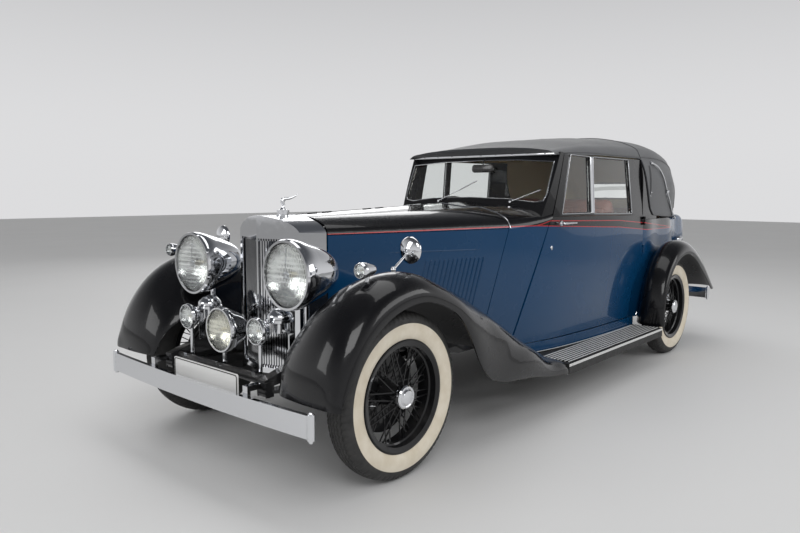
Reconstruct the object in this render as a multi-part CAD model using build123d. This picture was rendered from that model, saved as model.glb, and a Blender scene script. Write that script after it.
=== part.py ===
from build123d import *

import os
from math import cos, pi, radians, sin

# A two-door, four-seat luxury car of the 1930s with a folding head, a V-fronted radiator and wire wheels.
# Lengths are millimetres. +X is forward, +Y is the car's left and +Z is up. The origin is on the ground
# under the middle of the car's length and width. Heights are above the ground, and a "distance behind"
# is measured rearwards from the front axle, on a car of the drawn wheelbase. Another wheelbase
# lengthens or shortens the car between the two stretch limits, which lie inside the doors.

# ---- Overall sizes ----
wheelbase = 3200
drawn_wheelbase = 3200
stretch_from = 1900
stretch_to = 2000
track = 1422
front_overhang = 560
rear_overhang = 1010
front_axle_x = wheelbase / 2 + (rear_overhang - front_overhang) / 2
running_clearance = 0.3
seat_gap = 0.3
wheel_clearance = 6
door_gap = 8

# ---- Wheels and tyres ----
tyre_radius = 368
tyre_width = 136
rim_flange_radius = 246
rim_bead_drop = 22
rim_well_radius = 212
rim_width = 108
hub_radius = 44
hub_length = 120
spoke_size = 5
spokes_per_row = 20
brake_drum_radius = 180
brake_drum_width = 40

# ---- Axles, springs and steering ----
stub_radius = 24
kingpin_inset = 141
kingpin_y = track / 2 - kingpin_inset
kingpin_radius = 14
kingpin_boss_radius = 28
kingpin_boss_height = 84
front_beam_drop = 52
front_beam_depth = 58
front_beam_width = 46
rear_tube_radius = 42
differential_radius = 130
differential_nose = 170
spring_width = 50
spring_thickness = 36
spring_pin_radius = 12
spring_eye_radius = 22
steering_arm_length = 150
steering_ratio = 14

# ---- Chassis frame ----
frame_y = 365
frame_width = 46
frame_depth = 110

# ---- Bonnet and radiator ----
shell_front = 190
shell_corner = 119
shell_rear_behind = 46
shell_half_width = 226
shell_foot = 378
shell_shoulder = 1036
shell_top = 1132
shell_wall = 26
bonnet_rear_behind = 1226
bonnet_foot_behind = 1050
bonnet_thickness = 5
bonnet_foot_front = 548
bonnet_foot_rear = 462
coachline_height = 1038
scuttle_top = 1176

# ---- Body ----
panel = 22
door_thickness = 58
sill_height = 318
door_foot = 338
door_front_behind = 1562
door_front_foot_behind = 1265
door_rear_behind = 2862
screen_foot_behind = 1495
screen_head_behind = 1653
screen_foot_height = 1100
screen_head_height = 1476
screen_frame_depth = 34

# ---- Wings ----
wing_thickness = 7
wing_outer_y = 856
running_board_top = 272
running_board_thickness = 22


def behind(distance):
    """X of a point the given distance behind the front axle."""
    share = min(max((distance - stretch_from) / (stretch_to - stretch_from), 0), 1)
    return front_axle_x - distance - share * (wheelbase - drawn_wheelbase)


rear_axle_x = behind(drawn_wheelbase)
wheel_y = track / 2


def through(stations, distance):
    """A smooth value at a distance, by Catmull-Rom cubics through (distance, value) stations."""
    if distance <= stations[0][0]:
        return stations[0][1]
    if distance >= stations[-1][0]:
        return stations[-1][1]
    index = max(i for i, (d, _) in enumerate(stations) if d <= distance)
    index = min(index, len(stations) - 2)
    (d0, v0), (d1, v1) = stations[index], stations[index + 1]
    before = stations[max(index - 1, 0)]
    after = stations[min(index + 2, len(stations) - 1)]
    slope0 = (v1 - before[1]) / (d1 - before[0])
    slope1 = (after[1] - v0) / (after[0] - d0)
    t = (distance - d0) / (d1 - d0)
    span = d1 - d0
    return (
        (2 * t**3 - 3 * t**2 + 1) * v0
        + (t**3 - 2 * t**2 + t) * span * slope0
        + (-2 * t**3 + 3 * t**2) * v1
        + (t**3 - t**2) * span * slope1
    )


# Half width of the body at its widest height, at distances behind the front axle.
body_plan = [
    (shell_rear_behind, shell_half_width + 6),
    (650, 375),
    (bonnet_rear_behind, 504),
    (1600, 588),
    (2100, 632),
    (2600, 642),
    (3000, 634),
    (3400, 607),
    (3560, 594),
    (3700, 558),
    (3820, 530),
    (3950, 522),
    (4070, 514),
    (4140, 490),
    (4190, 430),
]
# Height of the belt, where the glass or the head begins.
belt_line = [(1400, 1096), (1800, 1114), (2774, 1098), (3400, 1062), (3950, 1052)]


def half_width(distance):
    """Half width of the body at a distance behind the front axle."""
    return through(body_plan, distance)


def belt(distance):
    """Height of the belt at a distance behind the front axle."""
    return through(belt_line, distance)


def across(points, y_from, y_to):
    """A prism across the car between two Y values, from an outline of (distance behind, height) points."""
    outline = Polyline(*[(behind(d), y_from, z) for d, z in points], close=True)
    return extrude(make_face(outline), amount=y_to - y_from, dir=(0, 1, 0))


def along(points, d_from, d_to):
    """A prism along the car between two distances behind, from an outline of (y, z) points."""
    outline = Polyline(*[(behind(d_from), y, z) for y, z in points], close=True)
    return extrude(make_face(outline), amount=d_to - d_from, dir=(-1, 0, 0))


def upright(points, z_from, z_to):
    """A vertical prism from an outline of (distance behind, y) points."""
    outline = Polyline(*[(behind(d), y, z_from) for d, y in points], close=True)
    return extrude(make_face(outline), amount=z_to - z_from, dir=(0, 0, 1))


def rod(start, end, radius):
    """A round bar between two points."""
    axis = Vector(*end) - Vector(*start)
    plane = Plane(origin=start, z_dir=axis)
    return extrude(plane * Circle(radius), amount=axis.length)


def other_side(shape):
    """The same shape on the car's other side."""
    return mirror(shape, about=Plane.XZ)


def save(name, *shapes):
    """Write one sub-part, with its separate solids side by side in one file."""
    solids = [solid for shape in shapes for solid in shape.solids()]
    export_step(Compound(solids), f"parts/{name}.step")


def standing_on(piece, support, away=(0, 0, 1)):
    """The piece cut to lie on its support with the seat gap between, keeping its main solid."""
    lifted = Pos(*[seat_gap * v for v in away]) * support
    return sorted((piece - lifted).solids(), key=lambda solid: solid.volume)[-1]


hinge_pin = 3.5
hinge_knuckle = 7
hinge_knuckle_length = 20


def hinge(centre, direction, fixed_way, moving_way, reach):
    """A three-knuckle hinge: the fixed knuckles and pin, and the moving one between them, each with its leaf."""
    axis = Vector(*direction).normalized()
    middle = Vector(*centre)
    length = hinge_knuckle_length

    def tube(along_axis, way, bored):
        place = middle + axis * along_axis
        part = Plane(origin=place - axis * (length / 2), z_dir=axis) * Pos(0, 0, length / 2) * Cylinder(
            hinge_knuckle, length
        )
        side = Vector(*way)
        side = (side - axis * side.dot(axis)).normalized()
        leaf = Plane(origin=place + side * (reach / 2), x_dir=side, z_dir=axis)
        part += leaf * Box(reach, 2.5, length)
        if bored:
            part -= rod(place - axis * length, place + axis * length, hinge_pin + running_clearance)
        return part

    spacing = length + 1
    fixed = tube(-spacing, fixed_way, False) + tube(spacing, fixed_way, False)
    fixed += rod(middle - axis * spacing, middle + axis * spacing, hinge_pin)
    return fixed, tube(0, moving_way, True)


# ---- Wheels ----
def spun(outline, x, y, z):
    """A solid of revolution about an axle line along Y, from an outline of (radius, offset along Y) points."""
    face = make_face(Polyline(*[(x + r, y + offset, z) for r, offset in outline], close=True))
    return revolve(face, Axis((x, y, z), (0, 1, 0)))


def tyre(x, y):
    """A tyre with a rounded tread and sidewalls bulging past the rim."""
    half = tyre_width / 2
    bead = rim_width / 2 - 4 - seat_gap
    flange_bead = rim_width / 2 - 2 - seat_gap
    inner = rim_flange_radius - rim_bead_drop + seat_gap
    flange = rim_flange_radius
    tread_half = half - 20
    bulge = (tyre_radius + rim_flange_radius) / 2 - 8
    points = Curve() + [
        Polyline(
            (x + flange, y - flange_bead, tyre_radius),
            (x + inner, y - bead, tyre_radius),
            (x + inner, y + bead, tyre_radius),
            (x + flange, y + flange_bead, tyre_radius),
        ),
        Spline(
            (x + flange, y + flange_bead, tyre_radius),
            (x + bulge, y + half, tyre_radius),
            (x + tyre_radius - 9, y + tread_half, tyre_radius),
            tangents=[(1, 0.35, 0), (0.6, -1, 0)],
        ),
        ThreePointArc(
            (x + tyre_radius - 9, y + tread_half, tyre_radius),
            (x + tyre_radius, y, tyre_radius),
            (x + tyre_radius - 9, y - tread_half, tyre_radius),
        ),
        Spline(
            (x + tyre_radius - 9, y - tread_half, tyre_radius),
            (x + bulge, y - half, tyre_radius),
            (x + flange, y - flange_bead, tyre_radius),
            tangents=[(-0.6, -1, 0), (-1, 0.35, 0)],
        ),
    ]
    return revolve(make_face(points), Axis((x, y, tyre_radius), (0, 1, 0)))


def spoke_row(x, y, hub_offset, rim_offset, hub_r, lean):
    """Square spokes from the hub to the rim, leaning alternately forwards and backwards."""
    spokes = []
    for index in range(spokes_per_row):
        angle = 2 * pi * index / spokes_per_row
        swing = lean if index % 2 else -lean
        start = Vector(
            x + (hub_r - 4) * cos(angle), y + hub_offset, tyre_radius + (hub_r - 4) * sin(angle)
        )
        reach = rim_well_radius + 4
        end = Vector(
            x + reach * cos(angle + swing), y + rim_offset, tyre_radius + reach * sin(angle + swing)
        )
        plane = Plane(origin=start, x_dir=(0, 1, 0), z_dir=end - start)
        spokes.append(extrude(plane * Rectangle(spoke_size, spoke_size), amount=(end - start).length))
    return spokes


def wire_wheel():
    """A wire wheel at the left, on an axle line along Y through the origin's height of the tyre radius."""
    half_rim = rim_width / 2
    rim = spun(
        [
            (rim_flange_radius, -half_rim - 4),
            (rim_flange_radius, -half_rim + 2),
            (rim_flange_radius - rim_bead_drop, -half_rim + 4),
            (rim_flange_radius - rim_bead_drop, -20),
            (rim_well_radius + 6, -14),
            (rim_well_radius + 6, 14),
            (rim_flange_radius - rim_bead_drop, 20),
            (rim_flange_radius - rim_bead_drop, half_rim - 4),
            (rim_flange_radius, half_rim - 2),
            (rim_flange_radius, half_rim + 4),
            (rim_flange_radius - 6, half_rim + 5),
            (rim_flange_radius - 26, half_rim - 2),
            (rim_flange_radius - 27, 22),
            (rim_well_radius, 17),
            (rim_well_radius, -17),
            (rim_flange_radius - 27, -22),
            (rim_flange_radius - 26, -half_rim + 2),
            (rim_flange_radius - 6, -half_rim - 5),
        ],
        0,
        0,
        tyre_radius,
    )
    bore = stub_radius + running_clearance
    hub = spun(
        [
            (bore, -hub_length / 2),
            (hub_radius + 16, -hub_length / 2),
            (hub_radius + 10, -hub_length / 2 + 22),
            (hub_radius, -8),
            (hub_radius - 6, 44),
            (hub_radius + 4, 46),
            (hub_radius + 4, 56),
            (hub_radius - 10, 68),
            (0, 74),
            (0, 48),
            (bore, 48),
        ],
        0,
        0,
        tyre_radius,
    )
    drum_inner = -hub_length / 2
    drum = spun(
        [
            (bore, drum_inner - 6),
            (bore, drum_inner),
            (brake_drum_radius, drum_inner),
            (brake_drum_radius, drum_inner - brake_drum_width),
            (brake_drum_radius - 8, drum_inner - brake_drum_width),
            (brake_drum_radius - 8, drum_inner - 6),
        ],
        0,
        0,
        tyre_radius,
    )
    outer_row = spoke_row(0, 0, 42, 8, hub_radius, radians(24))
    inner_row = spoke_row(0, 0, -48, -8, hub_radius + 14, radians(-24))
    spinner = across_axle_ears()
    return hub.fuse(rim, drum, spinner, *outer_row, *inner_row)


def across_axle_ears():
    """The two-eared knock-off nut on the hub's end."""
    ears = []
    for sign in (1, -1):
        ears.append(Pos(sign * 46, 62, tyre_radius) * Box(44, 8, 22))
    return ears[0] + ears[1]


# ---- Steering knuckles ----
def knuckle_left():
    """The left steering knuckle: two ears and a pin about the axle's boss, a stub axle and a steering arm."""
    x = front_axle_x
    z = tyre_radius
    ear_gap = kingpin_boss_height / 2 + running_clearance
    ear = 16
    body = Pos(x, kingpin_y, z + ear_gap + ear / 2) * Cylinder(kingpin_boss_radius, ear)
    body += Pos(x, kingpin_y, z - ear_gap - ear / 2) * Cylinder(kingpin_boss_radius, ear)
    body += Pos(x, kingpin_y, z) * Cylinder(kingpin_radius, 2 * ear_gap + 2 * ear)
    back = kingpin_boss_radius + 4
    plate = 7
    plate_y = kingpin_y + back + plate / 2
    body += Pos(x, plate_y, z) * Rot(90, 0, 0) * Cylinder(brake_drum_radius - 12, plate)
    for sign in (1, -1):
        body += Pos(x, kingpin_y + back / 2, z + sign * (ear_gap + ear / 2)) * Box(44, back, ear)
    stub_end = wheel_y + 46
    stub_start = plate_y
    body += Pos(x, (stub_start + stub_end) / 2, z) * Rot(90, 0, 0) * Cylinder(stub_radius, stub_end - stub_start)
    arm_z = z - ear_gap - ear / 2
    arm_y = kingpin_y - steering_arm_inset
    body += rod((x, kingpin_y, arm_z), (x - steering_arm_length, arm_y, arm_z), ear / 2 - 0.5)
    body += Pos(x - steering_arm_length, arm_y, arm_z) * Cylinder(16, arm_eye_height)
    pin_foot = track_rod_height - track_rod_eye / 2
    body += Pos(x - steering_arm_length, arm_y, (arm_z + pin_foot) / 2) * Cylinder(ball_pin, arm_z - pin_foot)
    return body


arm_height = tyre_radius - kingpin_boss_height / 2 - running_clearance - 8
arm_eye_height = 20
steering_arm_inset = 0
ball_pin = 8
track_rod_eye = 36
track_rod_height = arm_height - arm_eye_height / 2 - running_clearance - track_rod_eye / 2


def track_rod():
    """The rod that joins the two steering arms behind the axle, with an eye on each arm's pin."""
    x = front_axle_x - steering_arm_length
    y = kingpin_y - steering_arm_inset
    z = track_rod_height
    bar = rod((x, -y, z), (x, y, z), 11)
    for sign in (1, -1):
        bar += Pos(x, sign * y, z) * Cylinder(17, track_rod_eye)
        bar -= Pos(x, sign * y, z) * Cylinder(ball_pin + running_clearance, 2 * track_rod_eye)
    return bar


# ---- Axles ----
def front_axle():
    """The dropped beam between the kingpin bosses, with pads under the springs."""
    centre = tyre_radius - front_beam_drop
    half = front_beam_depth / 2
    outline = [
        (-kingpin_y + 20, tyre_radius + half - 4),
        (-kingpin_y + 20, tyre_radius - half + 4),
        (-kingpin_y + 110, centre - half),
        (kingpin_y - 110, centre - half),
        (kingpin_y - 20, tyre_radius - half + 4),
        (kingpin_y - 20, tyre_radius + half - 4),
        (kingpin_y - 70, tyre_radius + half - 8),
        (kingpin_y - 150, centre + half),
        (-kingpin_y + 150, centre + half),
        (-kingpin_y + 70, tyre_radius + half - 8),
    ]
    beam = along(outline, -front_beam_width / 2, front_beam_width / 2)
    bore = kingpin_radius + running_clearance
    for sign in (1, -1):
        beam += Pos(front_axle_x, sign * kingpin_y, tyre_radius) * Cylinder(
            kingpin_boss_radius, kingpin_boss_height
        )
        beam -= Pos(front_axle_x, sign * kingpin_y, tyre_radius) * Cylinder(bore, 200)
        pad_top = front_spring_seat
        pad_foot = centre
        beam += Pos(front_axle_x, sign * frame_y, (pad_top + pad_foot) / 2) * Box(
            90, spring_width + 14, pad_top - pad_foot
        )
    return beam


front_spring_seat = 352
rear_spring_seat = tyre_radius + rear_tube_radius + 6
rear_spring_y = frame_y + frame_width / 2 + 8 + spring_width / 2


def rear_axle():
    """The rear axle tube with its differential casing, spring pads and stub ends."""
    x = rear_axle_x
    z = tyre_radius
    tube_end = wheel_y - hub_length / 2 - brake_drum_width - 14
    axle = Pos(x, 0, z) * Rot(90, 0, 0) * Cylinder(rear_tube_radius, 2 * tube_end)
    casing = Sphere(differential_radius)
    axle += Pos(x, 0, z) * casing
    axle += Pos(x + differential_nose - 60, 0, z) * Rot(0, 90, 0) * Cone(70, 44, 120)
    for sign in (1, -1):
        stub_from = tube_end
        stub_to = wheel_y + 46
        axle += Pos(x, sign * (stub_from + stub_to) / 2, z) * Rot(90, 0, 0) * Cylinder(
            stub_radius, stub_to - stub_from + 2
        )
        axle += Pos(x, sign * (tube_end + 4), z) * Rot(90, 0, 0) * Cylinder(brake_drum_radius - 12, 8)
        axle += Pos(x, sign * rear_spring_y, (z + rear_spring_seat) / 2) * Box(
            96, spring_width + 10, rear_spring_seat - z
        )
    return axle


def leaf_spring(axle_distance, y, seat, ahead, after, eye_height):
    """A leaf spring resting on its axle's pad, with its pack thinning towards an eye at each end."""
    x = behind(axle_distance)
    top = seat + spring_thickness
    leaf = 9
    low = Polyline(
        (x + ahead, y, eye_height - leaf / 2),
        (x + 0.55 * ahead, y, seat + 0.32 * (eye_height - seat) + seat_gap),
        (x + 48, y, seat + seat_gap),
        (x - 48, y, seat + seat_gap),
        (x - 0.55 * after, y, seat + 0.32 * (eye_height - seat) + seat_gap),
        (x - after, y, eye_height - leaf / 2),
    )
    high = Polyline(
        (x - after, y, eye_height - leaf / 2),
        (x - after, y, eye_height + leaf / 2),
        (x - 0.55 * after, y, top + 0.45 * (eye_height - seat) - 6),
        (x, y, top),
        (x + 0.55 * ahead, y, top + 0.45 * (eye_height - seat) - 6),
        (x + ahead, y, eye_height + leaf / 2),
        (x + ahead, y, eye_height - leaf / 2),
    )
    face = make_face(Curve() + [low, high])
    spring = Pos(0, -spring_width / 2, 0) * extrude(face, amount=spring_width, dir=(0, 1, 0))
    for end in (x + ahead, x - after):
        eye = Pos(end, y, eye_height) * Rot(90, 0, 0) * Cylinder(spring_eye_radius, spring_width)
        spring += eye
    for end in (x + ahead, x - after):
        bore = Pos(end, y, eye_height) * Rot(90, 0, 0) * Cylinder(
            spring_pin_radius + running_clearance, spring_width + 20
        )
        spring -= bore
    return spring


# ---- Chassis frame ----
def shackle(x, y, eye_height, top):
    """Two ears and a pin that carry a spring eye under the frame, with the block that joins them."""
    ear = 6
    inner = spring_width / 2 + seat_gap
    block_foot = eye_height + spring_eye_radius + 3
    part = Pos(x, y, (block_foot + top) / 2) * Box(44, 2 * (inner + ear), top - block_foot)
    for sign in (1, -1):
        foot = eye_height - spring_pin_radius - 6
        part += Pos(x, y + sign * (inner + ear / 2), (foot + top) / 2) * Box(40, ear, top - foot)
    pin = Pos(x, y, eye_height) * Rot(90, 0, 0) * Cylinder(spring_pin_radius, 2 * (inner + ear))
    return part + pin


front_spring_ahead = 430
front_spring_after = 470
front_eye_height = 404
rear_spring_ahead = 640
rear_spring_after = 640
rear_eye_height = 432


frame_foot = 340
board_bracket_distances = (1480, 2080, 2600)


def chassis_frame():
    """Two side members swept up over the axles, with cross members and the springs' carriers."""
    side = [
        (-452, 424),
        (-452, 458),
        (-280, 506),
        (0, 540),
        (380, 520),
        (900, 455),
        (2700, 447),
        (2900, 449),
        (3070, 552),
        (3200, 572),
        (3450, 540),
        (3900, 474),
        (3900, 412),
        (3450, 470),
        (3200, 494),
        (3060, 462),
        (2890, 352),
        (2700, frame_foot),
        (900, frame_foot),
        (500, 432),
        (0, 448),
        (-300, 440),
    ]
    left = across(side, frame_y - frame_width / 2, frame_y + frame_width / 2)
    left += shackle(front_axle_x + front_spring_ahead, frame_y, front_eye_height, 450)
    left += shackle(front_axle_x - front_spring_after, frame_y, front_eye_height, 450)
    for distance in (drawn_wheelbase - rear_spring_ahead, drawn_wheelbase + rear_spring_after):
        outer = rear_spring_y + spring_width / 2 + seat_gap + 6
        pin = Pos(behind(distance), (frame_y + outer) / 2, rear_eye_height) * Rot(90, 0, 0)
        left += pin * Cylinder(spring_pin_radius, outer - frame_y)
        washer = Pos(behind(distance), outer - 3, rear_eye_height) * Rot(90, 0, 0)
        left += washer * Cylinder(spring_pin_radius + 8, 6)
    board_underside = running_board_top - running_board_thickness - seat_gap
    for distance in board_bracket_distances:
        bar_end = board_outer_y - 40
        bar_start = frame_y - frame_width / 2
        bar_y = (bar_start + bar_end) / 2
        bar = Pos(behind(distance), bar_y, board_underside - 10) * Box(36, bar_end - bar_start, 20)
        drop = frame_foot + 10 - (board_underside - 20)
        bar += Pos(behind(distance), frame_y, frame_foot + 10 - drop / 2) * Box(36, frame_width, drop)
        left += bar
    for distance in body_mount_distances:
        left += Pos(behind(distance), frame_y, (430 + floor_height - seat_gap) / 2) * Cylinder(
            body_mount_radius, floor_height - seat_gap - 430
        )
    frame = left + other_side(left)
    inside = 2 * frame_y
    for distance, height in ((-400, 440), (100, 498), (3620, 500)):
        tube = Pos(behind(distance), 0, height) * Rot(90, 0, 0) * Cylinder(cross_tube_radius, inside)
        frame += tube
    for distance, top in ((1300, gearbox_foot - seat_gap), (2640, gearbox_foot - 8)):
        frame += Pos(behind(distance), 0, top - 12) * Box(70, inside - frame_width + 4, 24)
    plate_back = number_plate_x - plate_thickness / 2 - seat_gap
    tube_x = behind(-400)
    bracket = Pos((tube_x + plate_back) / 2, 0, number_plate_height + 20) * Box(plate_back - tube_x, 160, 24)
    return frame + bracket


body_mount_distances = (1400, 2000, 2600)
body_mount_radius = 28
gearbox_foot = 350
cross_tube_radius = 22
number_plate_x = front_axle_x + 486
number_plate_height = 413
plate_thickness = 6


gearbox_end = 1900


def engine():
    """The engine as one plain block, with its gearbox and the feet that stand on the frame."""
    block = across([(190, 420), (190, 930), (1130, 930), (1130, 420), (1000, 330), (330, 330)], -205, 205)
    block += across(
        [(1130, gearbox_foot), (1130, 452), (gearbox_end, 440), (gearbox_end, gearbox_foot)], -100, 100
    )
    reach = frame_y - frame_width / 2 - seat_gap
    for distance in (260, 1060):
        block += Pos(behind(distance), 0, 475 - distance * 0.05) * Box(60, 2 * reach, 40)
    return block


def propeller_shaft():
    """The shaft from the gearbox to the differential's nose."""
    nose = drawn_wheelbase - differential_nose
    shaft = rod((behind(gearbox_end - 20), 0, 395), (behind(nose + 20), 0, tyre_radius + 3), 30)
    between = [
        (gearbox_end + seat_gap, 200),
        (gearbox_end + seat_gap, 600),
        (nose - seat_gap, 600),
        (nose - seat_gap, 200),
    ]
    return shaft & across(between, -100, 100)


tailpipe_end = 4140
tailpipe_y = -460
tailpipe_height = 300


def exhaust():
    """A pipe down from the engine, a silencer inside the frame and a tail pipe over the axle."""
    start = (behind(560), -205 - seat_gap, 600)
    route = FilletPolyline(
        start,
        (behind(560), -270, 600),
        (behind(620), -285, 300),
        (behind(1500), -265, 290),
        (behind(2680), -265, 290),
        (behind(2820), -500, 300),
        (behind(3120), -505, 458),
        (behind(3420), -500, 458),
        (behind(3680), tailpipe_y, 340),
        (behind(3860), tailpipe_y, tailpipe_height),
        (behind(tailpipe_end), tailpipe_y, tailpipe_height),
        radius=[28, 60, 60, 60, 60, 60, 60, 60, 60],
    )
    pipe = sweep(Plane(origin=start, z_dir=(0, -1, 0)) * Circle(22), path=route)
    silencer = Pos(behind(2200), -265, 290) * Rot(0, 90, 0) * Cylinder(70, 620)
    return pipe + silencer


def fuel_tank():
    """The tank between the frame's tails."""
    reach = frame_y - frame_width / 2 - seat_gap
    tank = Pos(behind(3890), 0, 452) * Box(340, 2 * reach, 176)
    return fillet(tank.edges().filter_by(Axis.Y), 40)


# ---- Body shells ----
def coach(distance):
    """Height of the line where the body's flat sides turn into the bonnet or the scuttle."""
    return through([(900, coachline_height), (1300, coachline_height + 2), (1600, 1092)], distance)


def crown_top(distance):
    """Height of the bonnet's and the scuttle's centre line."""
    return through([(46, shell_top - 2), (bonnet_rear_behind, scuttle_top), (1600, scuttle_top + 8)], distance)


def crown_section(distance, inset, foot):
    """A section across the bonnet or scuttle: upright sides under a rounded top."""
    x = behind(distance)
    half = half_width(distance) - inset
    side = coach(distance)
    rise = crown_top(distance) - inset - side
    low = half - 12 * min(1, (distance - 46) / 1200)
    left = Spline(
        (x, half, side),
        (x, 0.91 * half, side + 0.46 * rise),
        (x, 0.58 * half, side + 0.84 * rise),
        (x, 0, side + rise),
        tangents=[(0, -0.15, 1), (0, -1, 0.12)],
    )
    right = Spline(
        (x, 0, side + rise),
        (x, -0.58 * half, side + 0.84 * rise),
        (x, -0.91 * half, side + 0.46 * rise),
        (x, -half, side),
        tangents=[(0, -1, -0.12), (0, -0.15, -1)],
    )
    rest = Polyline((x, -half, side), (x, -low, foot), (x, low, foot), (x, half, side))
    return make_face(Curve() + [left, right, rest])


def crown(stations, inset, foot):
    """The closed form of the bonnet and scuttle, drawn in from the outside by the inset."""
    return loft([crown_section(distance, inset, foot) for distance in stations])


def tub_section(distance, inset, foot, top):
    """A section across the body's sides, flat at the scuttle and barrelled a little further back."""
    x = behind(distance)
    half = half_width(distance) - inset
    barrel = min(max((distance - 1350) / 550, 0.02), 1)
    low, middle, high = half - 12 - 8 * barrel, half - 6 * (1 - barrel), half - 10 * barrel
    centre = (foot + top) / 2
    left = ThreePointArc((x, low, foot), (x, middle, centre), (x, high, top))
    right = ThreePointArc((x, -high, top), (x, -middle, centre), (x, -low, foot))
    over = Line((x, high, top), (x, -high, top))
    under = Line((x, -low, foot), (x, low, foot))
    return make_face(Curve() + [left, over, right, under])


def tub(stations, inset, foot=sill_height, top_rise=0):
    """The closed form of the body's sides between two distances behind."""
    faces = [tub_section(d, inset, foot, belt(d) + top_rise) for d in stations]
    return loft(faces)


def cant(distance):
    """Height of the cant rail, over the door's window."""
    return through([(1600, 1493), (2200, 1490), (2902, 1496), (3300, 1498)], distance)


def cant_half(distance):
    """Half width at the cant rail."""
    return through([(1600, 582), (2200, 590), (2902, 584), (3300, 566)], distance)


def glasshouse(inset):
    """The closed form of the windows' sides, leaning in from the belt to the cant rail."""
    faces = []
    for distance in (1480, 1800, 2150, 2500, 2900):
        x = behind(distance)
        low = half_width(distance) - 12 - inset
        high = cant_half(distance) - inset
        foot = belt(distance) - 14
        top = cant(distance) + 30
        ring = Polyline((x, low, foot), (x, high, top), (x, -high, top), (x, -low, foot), close=True)
        faces.append(make_face(ring))
    return loft(faces)


body_stations = (1250, 1500, 1750, 2000, 2300, 2600, 2870)


def door_front(height):
    """Distance behind of the door's front edge at a height."""
    slope = (door_front_behind - door_front_foot_behind) / (1061 - door_foot)
    return door_front_foot_behind + slope * (height - door_foot)


# The door's rear edge: upright from the top, then forward under the swing of the rear wing.
door_rear_edge = [
    (door_rear_behind, 720),
    (2800, 655),
    (2738, 600),
    (2690, 520),
    (2676, 430),
    (2676, door_foot),
]
door_hinge_out = 6
door_hinge_behind = door_rear_behind + door_gap / 2
door_hinge_heights = (830, 1040)


def door_hinges():
    """The left door's hinges: their fixed and their moving halves."""
    fixed, moving = [], []
    y = half_width(door_hinge_behind) + door_hinge_out
    for height in door_hinge_heights:
        still, swinging = hinge(
            (behind(door_hinge_behind), y, height), (0, 0, 1), (-1, -1, 0), (1, -1, 0), 26
        )
        fixed.append(still)
        moving.append(swinging)
    return fixed, moving


def door_left():
    """The left door: a lower panel as thick as the pillar and a thinner frame round its windows."""
    shell = tub(body_stations, 0) - tub(body_stations, door_thickness, sill_height - 20, 20)
    lower = [
        (door_front_foot_behind, door_foot),
        (door_front_behind, 1061),
        (1600, 1096),
        (door_rear_behind, 1084),
    ]
    door = shell & across(lower + door_rear_edge, 0, 900)
    frame_shell = glasshouse(0) - glasshouse(30)
    top = 6
    ring = [
        (1601, 1090),
        (1709, cant(1709) - top),
        (2200, cant(2200) - top),
        (door_rear_behind, cant(door_rear_behind) - top),
        (door_rear_behind, 1080),
    ]
    frame = frame_shell & across(ring, 0, 900)
    door = door + frame
    for light in window_lights(0):
        door -= across(light, 400, 900)
    for leaf in door_hinges()[1]:
        door += leaf
    return door


handle_behind = 1664
handle_height = 1056
handle_reach = 32
handle_length = 146


def door_handle_left(door):
    """The left door's lever handle: a boss, a neck and a lever that tapers rearwards."""
    x = behind(handle_behind)
    y = half_width(handle_behind) - 12
    grip_y = y + 12 + handle_reach
    boss = Pos(x, y + 10, handle_height) * Rot(90, 0, 0) * Cylinder(17, 20)
    neck = rod((x, y, handle_height), (x, grip_y, handle_height), 7.5)
    lever = Plane(origin=(x + 14, grip_y, handle_height), z_dir=(-1, 0.04, 0)) * Pos(0, 0, handle_length / 2)
    lever = lever * Cone(9, 5.5, handle_length)
    tip = Pos(x + 14 - handle_length, grip_y + 0.04 * handle_length, handle_height) * Sphere(6.5)
    nose = Pos(x + 14, grip_y, handle_height) * Sphere(9)
    return standing_on(boss + neck + lever + tip + nose, door, (0, 1, 0))


quarterlight_bar = 2055
window_foot = 1120
window_head = 18


def window_lights(inset):
    """Outlines of the quarterlight and the main window in the door, drawn in by the inset."""
    foot = window_foot + inset
    bar = 26 + inset
    head = window_head + inset
    quarter = [
        (1700 + inset, foot),
        (1785 + inset, cant(1785) - head),
        (quarterlight_bar - bar, cant(quarterlight_bar) - head),
        (quarterlight_bar - bar, foot),
    ]
    main = [
        (quarterlight_bar + bar, foot - 6),
        (quarterlight_bar + bar, cant(quarterlight_bar) - head),
        (2330, cant(2330) - head),
        (2632 - inset, cant(2632) - head),
        (2650 - inset, foot - 16),
    ]
    return [quarter, main]


def door_glass_left():
    """The left door's two panes."""
    sheet = glasshouse(11) - glasshouse(17)
    return [sheet & across(light, 400, 900) for light in window_lights(seat_gap)]


scuttle_stations = (1030, 1226, 1400, 1610)


def scuttle():
    """The cowl between the bonnet and the doors, with the bulkhead under its front edge."""
    outer = crown(scuttle_stations, 0, sill_height)
    inner = crown(scuttle_stations, panel, sill_height - 20)
    gap = 9
    outline = [
        (bonnet_foot_behind, sill_height - 30),
        (bonnet_foot_behind, bonnet_foot_rear),
        (bonnet_rear_behind, coachline_height),
        (bonnet_rear_behind, 1300),
        (1590, 1300),
        (1590, 1096),
        (door_front_behind - gap, 1061),
        (door_front(door_foot) - gap - 4, door_foot),
        (door_front(door_foot) - gap - 4, sill_height - 30),
    ]
    shell = (outer - inner) & across(outline, -900, 900)
    bulkhead = inner & across([(1240, 466), (1240, 1300), (1250, 1300), (1250, 466)], -900, 900)
    rail = bonnet_rail()
    return shell + bulkhead + rail


bonnet_rod = 4
bonnet_knuckle = 6.5
bonnet_slot = 7


def bonnet_axis():
    """The two ends of the bonnet's centre hinge, just under its crown."""
    start = Vector(behind(shell_rear_behind) - seat_gap, 0, crown_top(shell_rear_behind) - 2)
    end = Vector(behind(bonnet_rear_behind), 0, crown_top(bonnet_rear_behind) - 2)
    return start, end


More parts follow.
